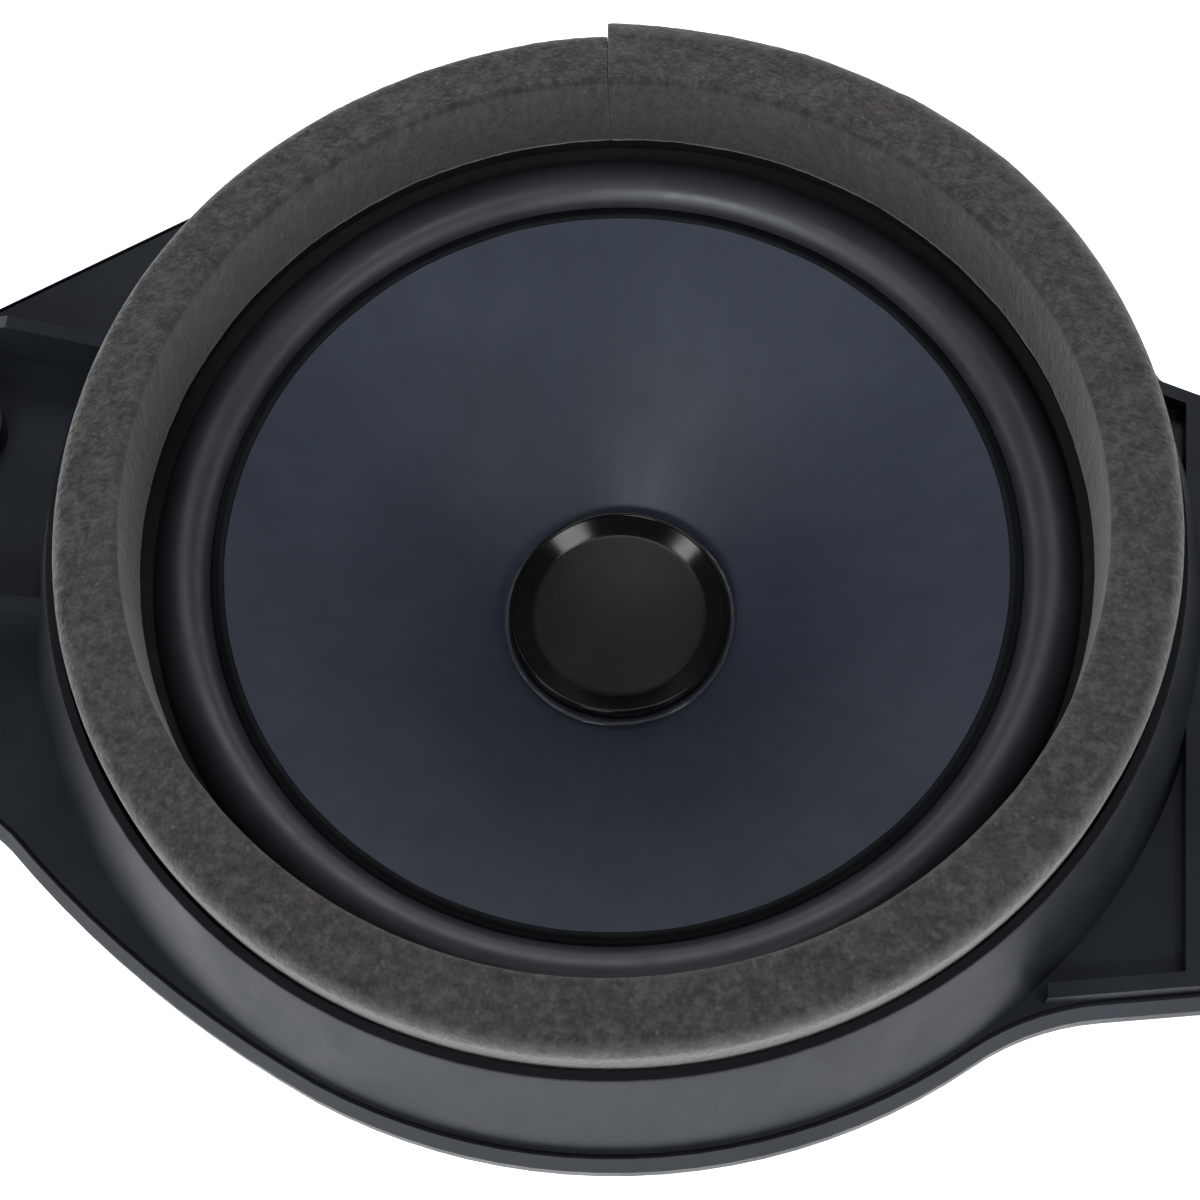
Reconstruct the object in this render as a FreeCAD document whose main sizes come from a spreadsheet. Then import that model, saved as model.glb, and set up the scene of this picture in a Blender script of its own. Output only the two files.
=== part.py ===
# Car door speaker, 165 mm class: moulded frame with two mounting ears, a foam ring round the
# front, a paper cone on a half-roll surround, and a ferrite motor behind it.
# Millimetres. The origin is the centre of the magnet's back face and +Z is the speaker's axis,
# pointing out of its front. +X runs from the axis through the middle of the right-hand ear.

import FreeCAD
import Part
import math
import os
import Sketcher

os.makedirs("parts", exist_ok=True)
doc = FreeCAD.newDocument("speaker")

# ---------------------------------------------------------------- driving dimensions

DIMENSIONS = {
    # heights above the magnet's back face
    "foam_top": 88.0,
    "foam_bottom": 71.7,
    "rim_top": 80.2,
    "landing_top": 66.6,
    "flange_top": 62.0,
    "flange_under": 59.4,
    "flange_foot": 57.0,
    "spider_seat": 34.2,
    "basket_floor": 26.3,
    "top_plate_top": 23.5,
    "top_plate_back": 18.9,
    "yoke_plate_top": 5.0,
    # front foam ring and its seat
    "foam_inner_radius": 73.4,
    "foam_outer_radius": 84.0,
    "foam_edge_round": 1.4,
    "tape_thickness": 0.2,
    "clamp_inner_radius": 74.6,
    "clamp_outer_radius": 83.6,
    # moulded frame
    "rim_inner_radius": 84.6,
    "rim_outer_radius": 85.9,
    "collar_foot_radius": 92.0,
    "flange_radius": 94.6,
    "wall": 2.0,
    "landing_inner_radius": 74.4,
    "landing_thickness": 2.4,
    "bowl_outer_radius": 80.4,
    "bowl_wall": 2.6,
    "bowl_turn_height": 52.0,
    "spider_seat_radius": 51.8,
    "floor_outer_radius": 43.5,
    "floor_inner_radius": 15.0,
    "window_count": 6,
    "window_angle": 38.0,
    "rear_rib_count": 24,
    "rear_rib_thickness": 1.6,
    # mounting ears
    "ear_reach": 122.0,
    "ear_edge_slope": 35.0,
    "ear_corner_radius": 9.0,
    "ear_wall": 1.8,
    "hole_spacing_along": 218.0,
    "hole_spacing_across": 28.0,
    "hole_radius": 2.75,
    "boss_radius": 7.6,
    "boss_top": 66.0,
    "left_rib_top": 72.6,
    "left_rib_thickness": 2.4,
    "right_rib_rise": 3.4,
    "right_rib_thickness": 2.3,
    "lip_bevel_width": 1.5,
    "lip_bevel_height": 2.3,
    "lip_groove_inset": 1.7,
    "lip_groove_width": 0.5,
    "lip_groove_depth": 1.0,
    # rear foam seal
    "seal_inner_radius": 80.6,
    "seal_outer_radius": 84.4,
    "seal_bottom": 54.6,
    # motor
    "yoke_radius": 33.0,
    "pole_radius": 12.0,
    "vent_radius": 4.0,
    "screen_radius": 5.8,
    "screen_thickness": 0.4,
    "magnet_radius": 36.0,
    "magnet_bore_radius": 16.5,
    "top_plate_radius": 35.0,
    "top_plate_bore_radius": 13.7,
    "screw_circle_radius": 29.0,
    "screw_count": 4,
    "screw_radius": 2.0,
    "screw_clearance": 0.1,
    "screw_head_radius": 3.7,
    "screw_head_height": 2.0,
    "screw_length": 6.0,
    # moving assembly
    "former_inner_radius": 12.5,
    "former_outer_radius": 12.8,
    "former_bottom": 16.4,
    "former_top": 38.0,
    "coil_outer_radius": 13.25,
    "coil_bottom": 16.9,
    "coil_height": 9.2,
    "cone_edge_radius": 62.0,
    "cone_edge_height": 67.2,
    "cone_neck_height": 36.3,
    "cone_thickness": 0.6,
    "cone_curve_radius": 520.0,
    "cap_radius": 18.1,
    "cap_base": 39.5,
    "cap_shoulder_height": 43.5,
    "cap_valley_height": 42.3,
    "cap_dome_radius": 14.4,
    "cap_rise": 1.5,
    "cap_thickness": 0.5,
    "bead_inner_radius": 18.0,
    "bead_outer_radius": 19.4,
    "bead_rise": 1.5,
    # surround and spider
    "surround_inner_radius": 60.0,
    "roll_inner_radius": 63.4,
    "roll_outer_radius": 72.4,
    "surround_outer_radius": 84.2,
    "surround_thickness": 0.6,
    "spider_outer_radius": 51.0,
    "spider_wave_inner": 16.0,
    "spider_wave_outer": 44.0,
    "spider_wave_count": 5,
    "spider_wave_height": 1.3,
    "spider_thickness": 0.5,
    # terminals and leads
    "shelf_half_width": 13.0,
    "shelf_reach": 68.0,
    "housing_half_width": 11.0,
    "housing_front": 54.6,
    "housing_reach": 66.6,
    "housing_bottom": 14.0,
    "housing_wall": 1.5,
    "blade_spacing": 10.0,
    "blade_width": 2.8,
    "blade_thickness": 0.8,
    "blade_distance": 60.6,
    "blade_bottom": 19.0,
    "blade_top": 38.6,
    "rivet_spacing": 19.0,
    "rivet_distance": 60.6,
    "rivet_radius": 1.3,
    "rivet_head_radius": 2.1,
    "rivet_head_height": 0.8,
    "lead_radius": 0.6,
    "eyelet_radius": 1.7,
    "eyelet_height": 1.8,
    "eyelet_base": 47.4,
    "eyelet_distance": 33.0,
}


def make_sheet():
    """The spreadsheet with one aliased cell per driving dimension."""
    table = doc.addObject("Spreadsheet::Sheet", "Sheet")
    for row, (alias, value) in enumerate(DIMENSIONS.items(), start=1):
        table.set(f"A{row}", alias)
        table.set(f"B{row}", str(value))
        table.setAlias(f"B{row}", alias)
    doc.recompute()
    return table


sheet = make_sheet()


class Size:
    """A length that knows its value now and the expression that binds it to the sheet."""

    def __init__(self, value, text):
        self.value = value
        self.text = text

    def _join(self, other, sign, value):
        text = other.text if isinstance(other, Size) else f"{other:.6f}"
        return Size(value, f"({self.text} {sign} {text})")

    def __add__(self, other):
        return self._join(other, "+", self.value + number(other))

    def __sub__(self, other):
        return self._join(other, "-", self.value - number(other))

    def __mul__(self, factor):
        return self._join(factor, "*", self.value * number(factor))

    def __neg__(self):
        return self * -1.0


def number(size):
    return size.value if isinstance(size, Size) else size


def dim(alias):
    return Size(float(sheet.get(alias)), f"Sheet.{alias}")


def fixed(value):
    """A bare number as a Size, for points that no driving dimension moves."""
    return Size(float(value), f"{value:.6f}")


def bind(item, prop, size):
    """Sets a property and ties it to the sheet."""
    item.setExpression(prop, size.text)


# ---------------------------------------------------------------- sketching helpers


def new_body(name):
    body = doc.addObject("PartDesign::Body", name)
    body.Label = name
    return body


def plane_of(body, role):
    return next(item for item in body.Origin.OriginFeatures if item.Role == role)


def new_sketch(body, name, role, height=None):
    """An empty sketch on one of the body's origin planes, raised by height."""
    sketch = body.newObject("Sketcher::SketchObject", name)
    sketch.AttachmentSupport = [(plane_of(body, role), "")]
    sketch.MapMode = "FlatFace"
    if height is not None:
        bind(sketch, "AttachmentOffset.Base.z", height)
    return sketch


def pin(sketch, edge, end, x, y):
    """Fixes one end of an edge at (x, y) from the sketch's origin, bound to the sheet."""
    for kind, size in (("DistanceX", x), ("DistanceY", y)):
        index = sketch.addConstraint(Sketcher.Constraint(kind, -1, 1, edge, end, size.value))
        sketch.setExpression(f"Constraints[{index}]", size.text)


def arc_edge(start, end, radius, left):
    """The short arc between two points that bulges to the left or right of the way along it.

    The second value is the constraint position (1 or 2) of the arc's first end.
    """
    a = FreeCAD.Vector(start[0].value, start[1].value, 0)
    b = FreeCAD.Vector(end[0].value, end[1].value, 0)
    chord = b - a
    normal = FreeCAD.Vector(-chord.y, chord.x, 0).normalize()
    side = 1.0 if left else -1.0
    sag = radius.value - math.sqrt(max(radius.value**2 - chord.Length**2 / 4, 0.0))
    middle = (a + b) * 0.5 + normal * (side * sag)
    arc = Part.Arc(a, middle, b)
    first = 2 if left else 1
    return arc, first


def draw_loop(sketch, points):
    """A closed outline. Each point is (x, y) for a line to it, or (x, y, radius, left) for an arc."""
    count = len(points)
    ends = []
    for index, point in enumerate(points):
        start = points[index - 1]
        if len(point) == 4:
            edge, first = arc_edge(start, point, point[2], point[3])
        else:
            a = FreeCAD.Vector(start[0].value, start[1].value, 0)
            b = FreeCAD.Vector(point[0].value, point[1].value, 0)
            edge, first = Part.LineSegment(a, b), 1
        geometry = sketch.addGeometry(edge, False)
        ends.append((geometry, first, 3 - first))
        pin(sketch, geometry, 3 - first, point[0], point[1])
    for index in range(count):
        edge, first, _ = ends[index]
        before, _, last = ends[index - 1]
        sketch.addConstraint(Sketcher.Constraint("Coincident", before, last, edge, first))
    for index, point in enumerate(points):
        if len(point) == 4:
            radius = Sketcher.Constraint("Radius", ends[index][0], point[2].value)
            bound = sketch.addConstraint(radius)
            sketch.setExpression(f"Constraints[{bound}]", point[2].text)


def draw_circle(sketch, x, y, radius):
    centre = FreeCAD.Vector(x.value, y.value, 0)
    circle = Part.Circle(centre, FreeCAD.Vector(0, 0, 1), radius.value)
    edge = sketch.addGeometry(circle, False)
    pin(sketch, edge, 3, x, y)
    bound = sketch.addConstraint(Sketcher.Constraint("Radius", edge, radius.value))
    sketch.setExpression(f"Constraints[{bound}]", radius.text)


def box_loop(x_low, x_high, y_low, y_high):
    return [(x_low, y_low), (x_high, y_low), (x_high, y_high), (x_low, y_high)]


def revolve(body, name, points, kind="PartDesign::Revolution", angle=None):
    """Turns an (r, z) outline about the speaker's axis: a full turn, or an angle centred on +Y."""
    sketch = new_sketch(body, f"{name}_sketch", "XZ_Plane" if angle is None else "YZ_Plane")
    draw_loop(sketch, points)
    turn = body.newObject(kind, name)
    turn.Profile = sketch
    turn.ReferenceAxis = (sketch, ["V_Axis"])
    turn.Angle = 360
    if angle is not None:
        turn.Midplane = True
        bind(turn, "Angle", angle)
    doc.recompute()
    return turn


def pad(body, name, sketch, length, downwards=False):
    feature = body.newObject("PartDesign::Pad", name)
    feature.Profile = sketch
    bind(feature, "Length", length)
    feature.Reversed = downwards
    doc.recompute()
    return feature


def pocket(body, name, sketch, length, upwards=False):
    """Cuts a sketch's outline downwards, or upwards, and checks that it removed something."""
    before = body.Shape.Volume
    feature = body.newObject("PartDesign::Pocket", name)
    feature.Profile = sketch
    bind(feature, "Length", length)
    feature.Reversed = upwards
    doc.recompute()
    if body.Shape.Volume >= before - 1e-3:
        raise RuntimeError(f"{name} cut nothing")
    return feature


def polar(body, name, features, count):
    pattern = body.newObject("PartDesign::PolarPattern", name)
    pattern.Originals = features
    pattern.Axis = (features[0].Profile[0], ["V_Axis"])
    pattern.Angle = 360
    bind(pattern, "Occurrences", count)
    body.Tip = pattern
    doc.recompute()
    return pattern


def ring_node(name, points):
    """A sub-part that is one outline turned about the axis."""
    body = new_body(name)
    revolve(body, f"{name}_turn", points)
    return body


def ring_section(inner, outer, bottom, top):
    return [(inner, bottom), (outer, bottom), (outer, top), (inner, top)]


# ---------------------------------------------------------------- flange and ear outlines


def on_circle(radius, degrees):
    angle = math.radians(degrees)
    return radius * math.cos(angle), radius * math.sin(angle)


def rounded(before, corner, after, radius):
    """The line end and the arc that round one corner of an outline."""
    point = FreeCAD.Vector(corner[0].value, corner[1].value, 0)
    back = FreeCAD.Vector(before[0].value, before[1].value, 0) - point
    ahead = FreeCAD.Vector(after[0].value, after[1].value, 0) - point
    reach = 1.0 / math.tan(back.getAngle(ahead) / 2)
    back.normalize()
    ahead.normalize()
    turns_left = (-back.x * ahead.y + back.y * ahead.x) > 0
    start = (corner[0] + radius * (reach * back.x), corner[1] + radius * (reach * back.y))
    end = (corner[0] + radius * (reach * ahead.x), corner[1] + radius * (reach * ahead.y))
    return [start, (end[0], end[1], radius, not turns_left)]


def cove_points(circle_radius, corner, direction, radius):
    """Where a concave fillet meets the flange circle and the ear edge that leaves it.

    direction is the angle in degrees of the ear edge, from the circle out to its corner.
    """
    angle = math.radians(direction)
    along = FreeCAD.Vector(math.cos(angle), math.sin(angle), 0)
    outward = FreeCAD.Vector(along.y, -along.x, 0)
    if corner.y > 0:
        outward = outward * -1
    offset = outward.dot(corner) + radius
    run = math.sqrt((circle_radius + radius) ** 2 - offset**2)
    centre = outward * offset + along * run
    return centre * (circle_radius / centre.Length), centre - outward * radius


RIGHT_LOWER_EDGE = 10.0
RIGHT_UPPER_EDGE = -19.0
RIGHT_LOWER_CORNER = (98.0, -61.9)
RIGHT_TAB_HALF_WIDTH = 28.0
LOWER_COVE_RADIUS = 40.0
UPPER_COVE_RADIUS = 7.0
# the left ear's lower edge runs straight for this share, then swells out to the circle
LEFT_STRAIGHT_SHARE = 0.5
LEFT_SWELL_RADIUS = 190.0
LEFT_SWELL_END = -112.0


def left_corner(inset):
    """The upper corner of the left ear, drawn in from its edge by inset."""
    slope = math.radians(DIMENSIONS["ear_edge_slope"])
    x = -(dim("ear_reach") - inset)
    edge = dim("flange_radius") - inset
    y = edge * (1 / math.cos(slope)) + x * math.tan(slope)
    return x, y


def right_corners(inset):
    """The right ear's three corners, lowest first, drawn in from its edge by inset."""
    reach = dim("ear_reach") - inset
    lower = (fixed(RIGHT_LOWER_CORNER[0] - 0.5 * inset), fixed(RIGHT_LOWER_CORNER[1] + inset))
    middle = (reach, fixed(-RIGHT_TAB_HALF_WIDTH + 0.4 * inset))
    upper = (reach, fixed(RIGHT_TAB_HALF_WIDTH - inset))
    return lower, middle, upper


def flange_outline(inset=0.0):
    """The closed outline of the round flange with both ears, drawn in from its edge by inset."""
    radius = dim("flange_radius") - inset
    corner_radius = dim("ear_corner_radius") - inset
    lower, middle, upper = right_corners(inset)
    lower_start, lower_end = cove_points(
        radius.value,
        FreeCAD.Vector(lower[0].value, lower[1].value, 0),
        RIGHT_LOWER_EDGE,
        LOWER_COVE_RADIUS + inset,
    )
    upper_end, upper_start = cove_points(
        radius.value,
        FreeCAD.Vector(upper[0].value, upper[1].value, 0),
        RIGHT_UPPER_EDGE,
        UPPER_COVE_RADIUS + inset,
    )

    def on_edge(point):
        return radius * (point.x / radius.value), radius * (point.y / radius.value)

    tangent = 90.0 + DIMENSIONS["ear_edge_slope"]
    left_top = on_circle(radius, tangent)
    left_bottom = on_circle(radius, -tangent)
    left_upper = left_corner(inset)
    left_lower = (left_upper[0], -left_upper[1])
    loop = []
    # lower right: from the circle through the cove, round the ear, and back to the circle
    loop.append((*on_edge(lower_end), fixed(LOWER_COVE_RADIUS + inset), True))
    loop += rounded(on_edge(lower_end), lower, middle, corner_radius)
    loop += rounded(lower, middle, upper, corner_radius)
    loop += rounded(middle, upper, on_edge(upper_start), corner_radius)
    loop.append(on_edge(upper_start))
    loop.append((*on_edge(upper_end), fixed(UPPER_COVE_RADIUS + inset), True))
    # over the top to the left ear and under it
    loop.append((*left_top, radius, False))
    loop += rounded(left_top, left_upper, left_lower, corner_radius)
    loop += rounded(left_upper, left_lower, left_bottom, corner_radius)
    loop.append((
        left_lower[0] + (left_bottom[0] - left_lower[0]) * LEFT_STRAIGHT_SHARE,
        left_lower[1] + (left_bottom[1] - left_lower[1]) * LEFT_STRAIGHT_SHARE,
    ))
    loop.append((*on_circle(radius, LEFT_SWELL_END), fixed(LEFT_SWELL_RADIUS - inset), False))
    loop.append((*on_edge(lower_start), radius, False))
    return loop


# ---------------------------------------------------------------- the moulded frame


def frame_section():
    """The (r, z) outline of the collar, the seat, the bowl and its floor."""
    groove_top = 72.0
    inner_skirt = dim("rim_inner_radius") + 1.7
    bowl_foot = dim("spider_seat_radius") + 2.6
    floor_wall = dim("floor_outer_radius")
    seat = dim("spider_seat")
    under_seat = seat - 2.4
    landing_under = dim("landing_top") - dim("landing_thickness")
    bowl_inner = dim("bowl_outer_radius") - dim("bowl_wall")
    return [
        (dim("rim_outer_radius"), dim("rim_top")),
        (dim("collar_foot_radius"), dim("flange_top")),
        (dim("collar_foot_radius"), dim("flange_foot")),
        (dim("collar_foot_radius") - dim("wall"), dim("flange_foot")),
        (dim("collar_foot_radius") - dim("wall"), dim("flange_top")),
        (inner_skirt + 0.3, fixed(groove_top)),
        (inner_skirt, fixed(groove_top)),
        (inner_skirt, dim("flange_foot")),
        (dim("rim_inner_radius"), dim("flange_foot")),
        (dim("rim_inner_radius"), landing_under),
        (dim("bowl_outer_radius"), landing_under),
        (dim("bowl_outer_radius"), dim("bowl_turn_height")),
        (bowl_foot, under_seat + 1.0),
        (floor_wall + 2.4, under_seat),
        (floor_wall, dim("top_plate_top")),
        (dim("floor_inner_radius"), dim("top_plate_top")),
        (dim("floor_inner_radius"), dim("basket_floor")),
        (floor_wall - 2.4, dim("basket_floor")),
        (floor_wall + 0.2, seat),
        (dim("spider_seat_radius"), seat),
        (dim("spider_seat_radius"), seat + 1.0),
        (bowl_inner, dim("bowl_turn_height") + 1.4),
        (bowl_inner, landing_under),
        (dim("landing_inner_radius"), landing_under),
        (dim("landing_inner_radius"), dim("landing_top")),
        (dim("rim_inner_radius"), dim("landing_top")),
        (dim("rim_inner_radius"), dim("rim_top")),
    ]


def bevel_lip(body, flange):
    """Slopes the top of the flange and the ears down to their outer edge."""
    top, reach = DIMENSIONS["flange_top"], DIMENSIONS["flange_radius"] - 0.1
    names = []
    for index, edge in enumerate(flange.Shape.Edges):
        points = edge.discretize(5)
        if all(abs(p.z - top) < 0.001 and math.hypot(p.x, p.y) > reach for p in points):
            names.append(f"Edge{index + 1}")
    bevel = body.newObject("PartDesign::Chamfer", "lip_bevel")
    bevel.Base = (flange, names)
    bevel.ChamferType = "Two distances"
    bind(bevel, "Size", dim("lip_bevel_width"))
    bind(bevel, "Size2", dim("lip_bevel_height"))


def add_flange(body):
    """The flange and both ears, as deep as their skirt."""
    sketch = new_sketch(body, "flange_sketch", "XY_Plane", dim("flange_foot"))
    draw_loop(sketch, flange_outline())
    draw_circle(sketch, fixed(0), fixed(0), dim("collar_foot_radius") - 1.0)
    flange = pad(body, "flange", sketch, dim("flange_top") - dim("flange_foot"))
    bevel_lip(body, flange)


def hollow_left_ear(body):
    """The hollow under the left ear, which leaves a skirt round its edge."""
    wall = dim("ear_wall")
    slope = math.radians(DIMENSIONS["ear_edge_slope"])
    edge = (dim("flange_radius") - wall).value
    circle = dim("flange_radius") + 1.0
    run = math.sqrt(circle.value**2 - edge**2)
    near_x = -edge * math.sin(slope) - run * math.cos(slope)
    near_y = edge * math.cos(slope) - run * math.sin(slope)
    near = (circle * (near_x / circle.value), circle * (near_y / circle.value))
    upper = left_corner(wall.value)
    lower = (upper[0], -upper[1])
    near_low = (near[0], -near[1])
    radius = dim("ear_corner_radius") - wall
    loop = [(*near, circle, True)]
    loop += rounded(near, upper, lower, radius)
    loop += rounded(upper, lower, near_low, radius)
    loop.append(near_low)
    sketch = new_sketch(body, "left_hollow_sketch", "XY_Plane", dim("flange_foot"))
    draw_loop(sketch, loop)
    pocket(body, "left_hollow", sketch, dim("flange_under") - dim("flange_foot"), upwards=True)


def hollow_right_ear(body):
    """The hollow under the right ear."""
    inset = DIMENSIONS["ear_wall"]
    circle = dim("flange_radius") + 1.0
    lower, middle, upper = right_corners(inset)
    radius = dim("ear_corner_radius") - inset
    near_low = on_circle(circle, -40.5)
    near_high = on_circle(circle, 20.5)
    loop = [(*near_low, circle, False)]
    loop += rounded(near_low, lower, middle, radius)
    loop += rounded(lower, middle, upper, radius)
    loop += rounded(middle, upper, near_high, radius)
    loop.append(near_high)
    sketch = new_sketch(body, "right_hollow_sketch", "XY_Plane", dim("flange_foot"))
    draw_loop(sketch, loop)
    pocket(body, "right_hollow", sketch, dim("flange_under") - dim("flange_foot"), upwards=True)


def add_left_ribs(body):
    """Two tall webs that brace the left ear against the collar, and the end web between them."""
    thick = dim("left_rib_thickness")
    base = dim("flange_top") - 0.4
    near_edge = fixed(-20.4)
    far_edge = fixed(26.0)
    inner = -(dim("collar_foot_radius") - 9.4)
    outer = -(dim("ear_reach") - 3.6)
    spread = 5.0
    sketch = new_sketch(body, "left_rib_sketch", "XY_Plane", base)
    draw_loop(sketch, [
        (inner, near_edge),
        (inner, near_edge + thick),
        (outer + thick, near_edge + thick),
        (outer + thick, far_edge + spread),
        (inner, far_edge),
        (inner, far_edge + thick),
        (outer, far_edge + thick + spread),
        (outer, near_edge),
    ])
    pad(body, "left_ribs", sketch, dim("left_rib_top") - base)
    # the webs slope down towards the ear's end
    slope = new_sketch(body, "left_slope_sketch", "XZ_Plane")
    draw_loop(slope, [
        (outer - 5.0, dim("flange_top") + 2.4),
        (outer + thick, dim("flange_top") + 2.4),
        (fixed(-102.0), dim("left_rib_top")),
        (fixed(-102.0), dim("left_rib_top") + 5.0),
        (outer - 5.0, dim("left_rib_top") + 5.0),
    ])
    cut = pocket(body, "left_slope", slope, fixed(120.0), upwards=False)
    cut.Midplane = True


def add_right_ribs(body):
    """The low rib round the right ear's pocket, with a cross rib in front of the screw tab."""
    thick = dim("right_rib_thickness")
    base = dim("flange_top") - 0.4
    rise = dim("right_rib_rise") + 0.4
    cross = fixed(88.4)
    inset = DIMENSIONS["lip_groove_inset"] + DIMENSIONS["lip_groove_width"]
    lower = right_corners(inset)[0]
    upper = right_corners(inset)[2]
    low_slope = math.tan(math.radians(RIGHT_LOWER_EDGE))
    high_slope = math.tan(math.radians(RIGHT_UPPER_EDGE))
    low_start = dim("landing_inner_radius") - 5.6
    high_start = dim("collar_foot_radius") - 9.0

    def low_line(x):
        return (x - lower[0]) * low_slope + lower[1]

    def high_line(x):
        return (x - upper[0]) * high_slope + upper[1]

    sketch = new_sketch(body, "right_rib_sketch", "XY_Plane", base)
    draw_loop(sketch, [
        (low_start, low_line(low_start)),
        (cross + thick, low_line(cross + thick)),
        (cross + thick, high_line(cross + thick)),
        (high_start, high_line(high_start)),
        (high_start, high_line(high_start) - thick),
        (cross, high_line(cross) - thick),
        (cross, low_line(cross) + thick),
        (low_start, low_line(low_start) + thick),
    ])
    pad(body, "right_ribs", sketch, rise)


def hole_centres():
    half_along = dim("hole_spacing_along") * 0.5
    half_across = dim("hole_spacing_across") * 0.5
    return [
        (half_along * x_side, half_across * y_side)
        for x_side in (-1.0, 1.0)
        for y_side in (-1.0, 1.0)
    ]


def add_bosses(body):
    """A boss round each screw hole, from the skirt's foot to above the ear."""
    sketch = new_sketch(body, "boss_sketch", "XY_Plane", dim("flange_foot"))
    for x, y in hole_centres():
        draw_circle(sketch, x, y, dim("boss_radius"))
    pad(body, "bosses", sketch, dim("boss_top") - dim("flange_foot"))
    holes = new_sketch(body, "hole_sketch", "XY_Plane", dim("boss_top"))
    for x, y in hole_centres():
        draw_circle(holes, x, y, dim("hole_radius"))
    pocket(body, "screw_holes", holes, dim("boss_top") - dim("flange_foot"))


def cut_lip_groove(body):
    """The shallow groove that sets the flange's lip off from the collar and the ears."""
    inner = DIMENSIONS["lip_groove_inset"] + DIMENSIONS["lip_groove_width"]
    sketch = new_sketch(body, "groove_sketch", "XY_Plane", dim("flange_top"))
    draw_loop(sketch, flange_outline(DIMENSIONS["lip_groove_inset"]))
    draw_loop(sketch, flange_outline(inner))
    pocket(body, "lip_groove", sketch, dim("lip_groove_depth"))


def cut_windows(body):
    """The openings in the bowl's slope that let the cone's back breathe."""
    low = dim("spider_seat_radius") + 1.4
    high = dim("bowl_outer_radius") - 5.0
    window = revolve(body, "window", [
        (low, dim("spider_seat") - 4.0),
        (high + 1.0, dim("bowl_turn_height") - 8.0),
        (high + 1.0, dim("bowl_turn_height") + 2.0),
        (high, dim("bowl_turn_height") + 4.0),
        (low, dim("spider_seat") + 6.0),
    ], kind="PartDesign::Groove", angle=dim("window_angle"))
    polar(body, "windows", [window], dim("window_count"))


def add_rear_ribs(body):
    """Thin radial ribs in the hollow behind the collar."""
    half = dim("rear_rib_thickness") * 0.5
    inner = dim("rim_inner_radius") + 1.0
    outer = dim("collar_foot_radius") - 1.3
    sketch = new_sketch(body, "rear_rib_sketch", "XY_Plane", dim("flange_foot") + 1.2)
    count = int(DIMENSIONS["rear_rib_count"])
    for index in range(count):
        angle = 360.0 * (index + 0.5) / count
        turn = math.radians(angle)
        across = (-math.sin(turn), math.cos(turn))
        ends = []
        for radius, side in ((inner, -1.0), (outer, -1.0), (outer, 1.0), (inner, 1.0)):
            x, y = on_circle(radius, angle)
            ends.append((x + half * (side * across[0]), y + half * (side * across[1])))
        draw_loop(sketch, ends)
    pad(body, "rear_ribs", sketch, fixed(5.6))


def add_terminal_shelf(body):
    """The ledge outside one window that carries the connector, and its slots and rivet holes."""
    half = dim("shelf_half_width")
    inner = dim("floor_outer_radius") + 5.0
    sketch = new_sketch(body, "shelf_sketch", "XY_Plane", dim("spider_seat") - 2.4)
    draw_loop(sketch, box_loop(-half, half, inner, dim("shelf_reach")))
    pad(body, "terminal_shelf", sketch, fixed(2.4))
    slots = new_sketch(body, "slot_sketch", "XY_Plane", dim("spider_seat"))
    for side in (-1.0, 1.0):
        middle = dim("blade_spacing") * (0.5 * side)
        reach = dim("blade_width") * 0.5
        depth = dim("blade_thickness") * 0.5
        centre = dim("blade_distance")
        draw_loop(slots, box_loop(middle - reach, middle + reach, centre - depth, centre + depth))
        draw_circle(
            slots, dim("rivet_spacing") * (0.5 * side), dim("rivet_distance"), dim("rivet_radius")
        )
    pocket(body, "terminal_slots", slots, fixed(4.0))


def cut_floor_holes(body):
    """The holes for the screws that hold the motor to the frame."""
    sketch = new_sketch(body, "floor_hole_sketch", "XY_Plane", dim("basket_floor"))
    for x, y in screw_centres():
        draw_circle(sketch, x, y, dim("screw_radius") + dim("screw_clearance"))
    pocket(body, "floor_holes", sketch, dim("basket_floor") - dim("top_plate_top"))


def basket_frame():
    body = new_body("basket_frame")
    revolve(body, "collar_and_bowl", frame_section())
    add_flange(body)
    hollow_left_ear(body)
    hollow_right_ear(body)
    add_left_ribs(body)
    add_right_ribs(body)
    add_bosses(body)
    cut_lip_groove(body)
    cut_windows(body)
    add_rear_ribs(body)
    add_terminal_shelf(body)
    cut_floor_holes(body)
    return body


# ---------------------------------------------------------------- seals and clamp ring


def front_foam_gasket():
    edge = dim("foam_edge_round")
    inner = dim("foam_inner_radius")
    outer = dim("foam_outer_radius")
    top = dim("foam_top")
    return ring_node("front_foam_gasket", [
        (inner, dim("foam_bottom")),
        (outer, dim("foam_bottom")),
        (outer, top - edge),
        (outer - edge, top, edge, False),
        (inner, top),
    ])


def foam_tape():
    top = dim("foam_bottom")
    return ring_node("foam_tape", ring_section(
        dim("clamp_inner_radius") + 0.3,
        dim("clamp_outer_radius"),
        top - dim("tape_thickness"),
        top,
    ))


def surround_clamp_ring():
    bottom = dim("landing_top") + dim("surround_thickness")
    top = dim("foam_bottom") - dim("tape_thickness")
    inner = dim("clamp_inner_radius")
    return ring_node("surround_clamp_ring", [
        (inner + 0.6, bottom),
        (dim("clamp_outer_radius"), bottom),
        (dim("clamp_outer_radius"), top),
        (inner, top),
        (inner, bottom + 0.6),
    ])


def rear_foam_seal():
    return ring_node("rear_foam_seal", ring_section(
        dim("seal_inner_radius"),
        dim("seal_outer_radius"),
        dim("seal_bottom"),
        dim("landing_top") - dim("landing_thickness"),
    ))


# ---------------------------------------------------------------- motor


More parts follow.
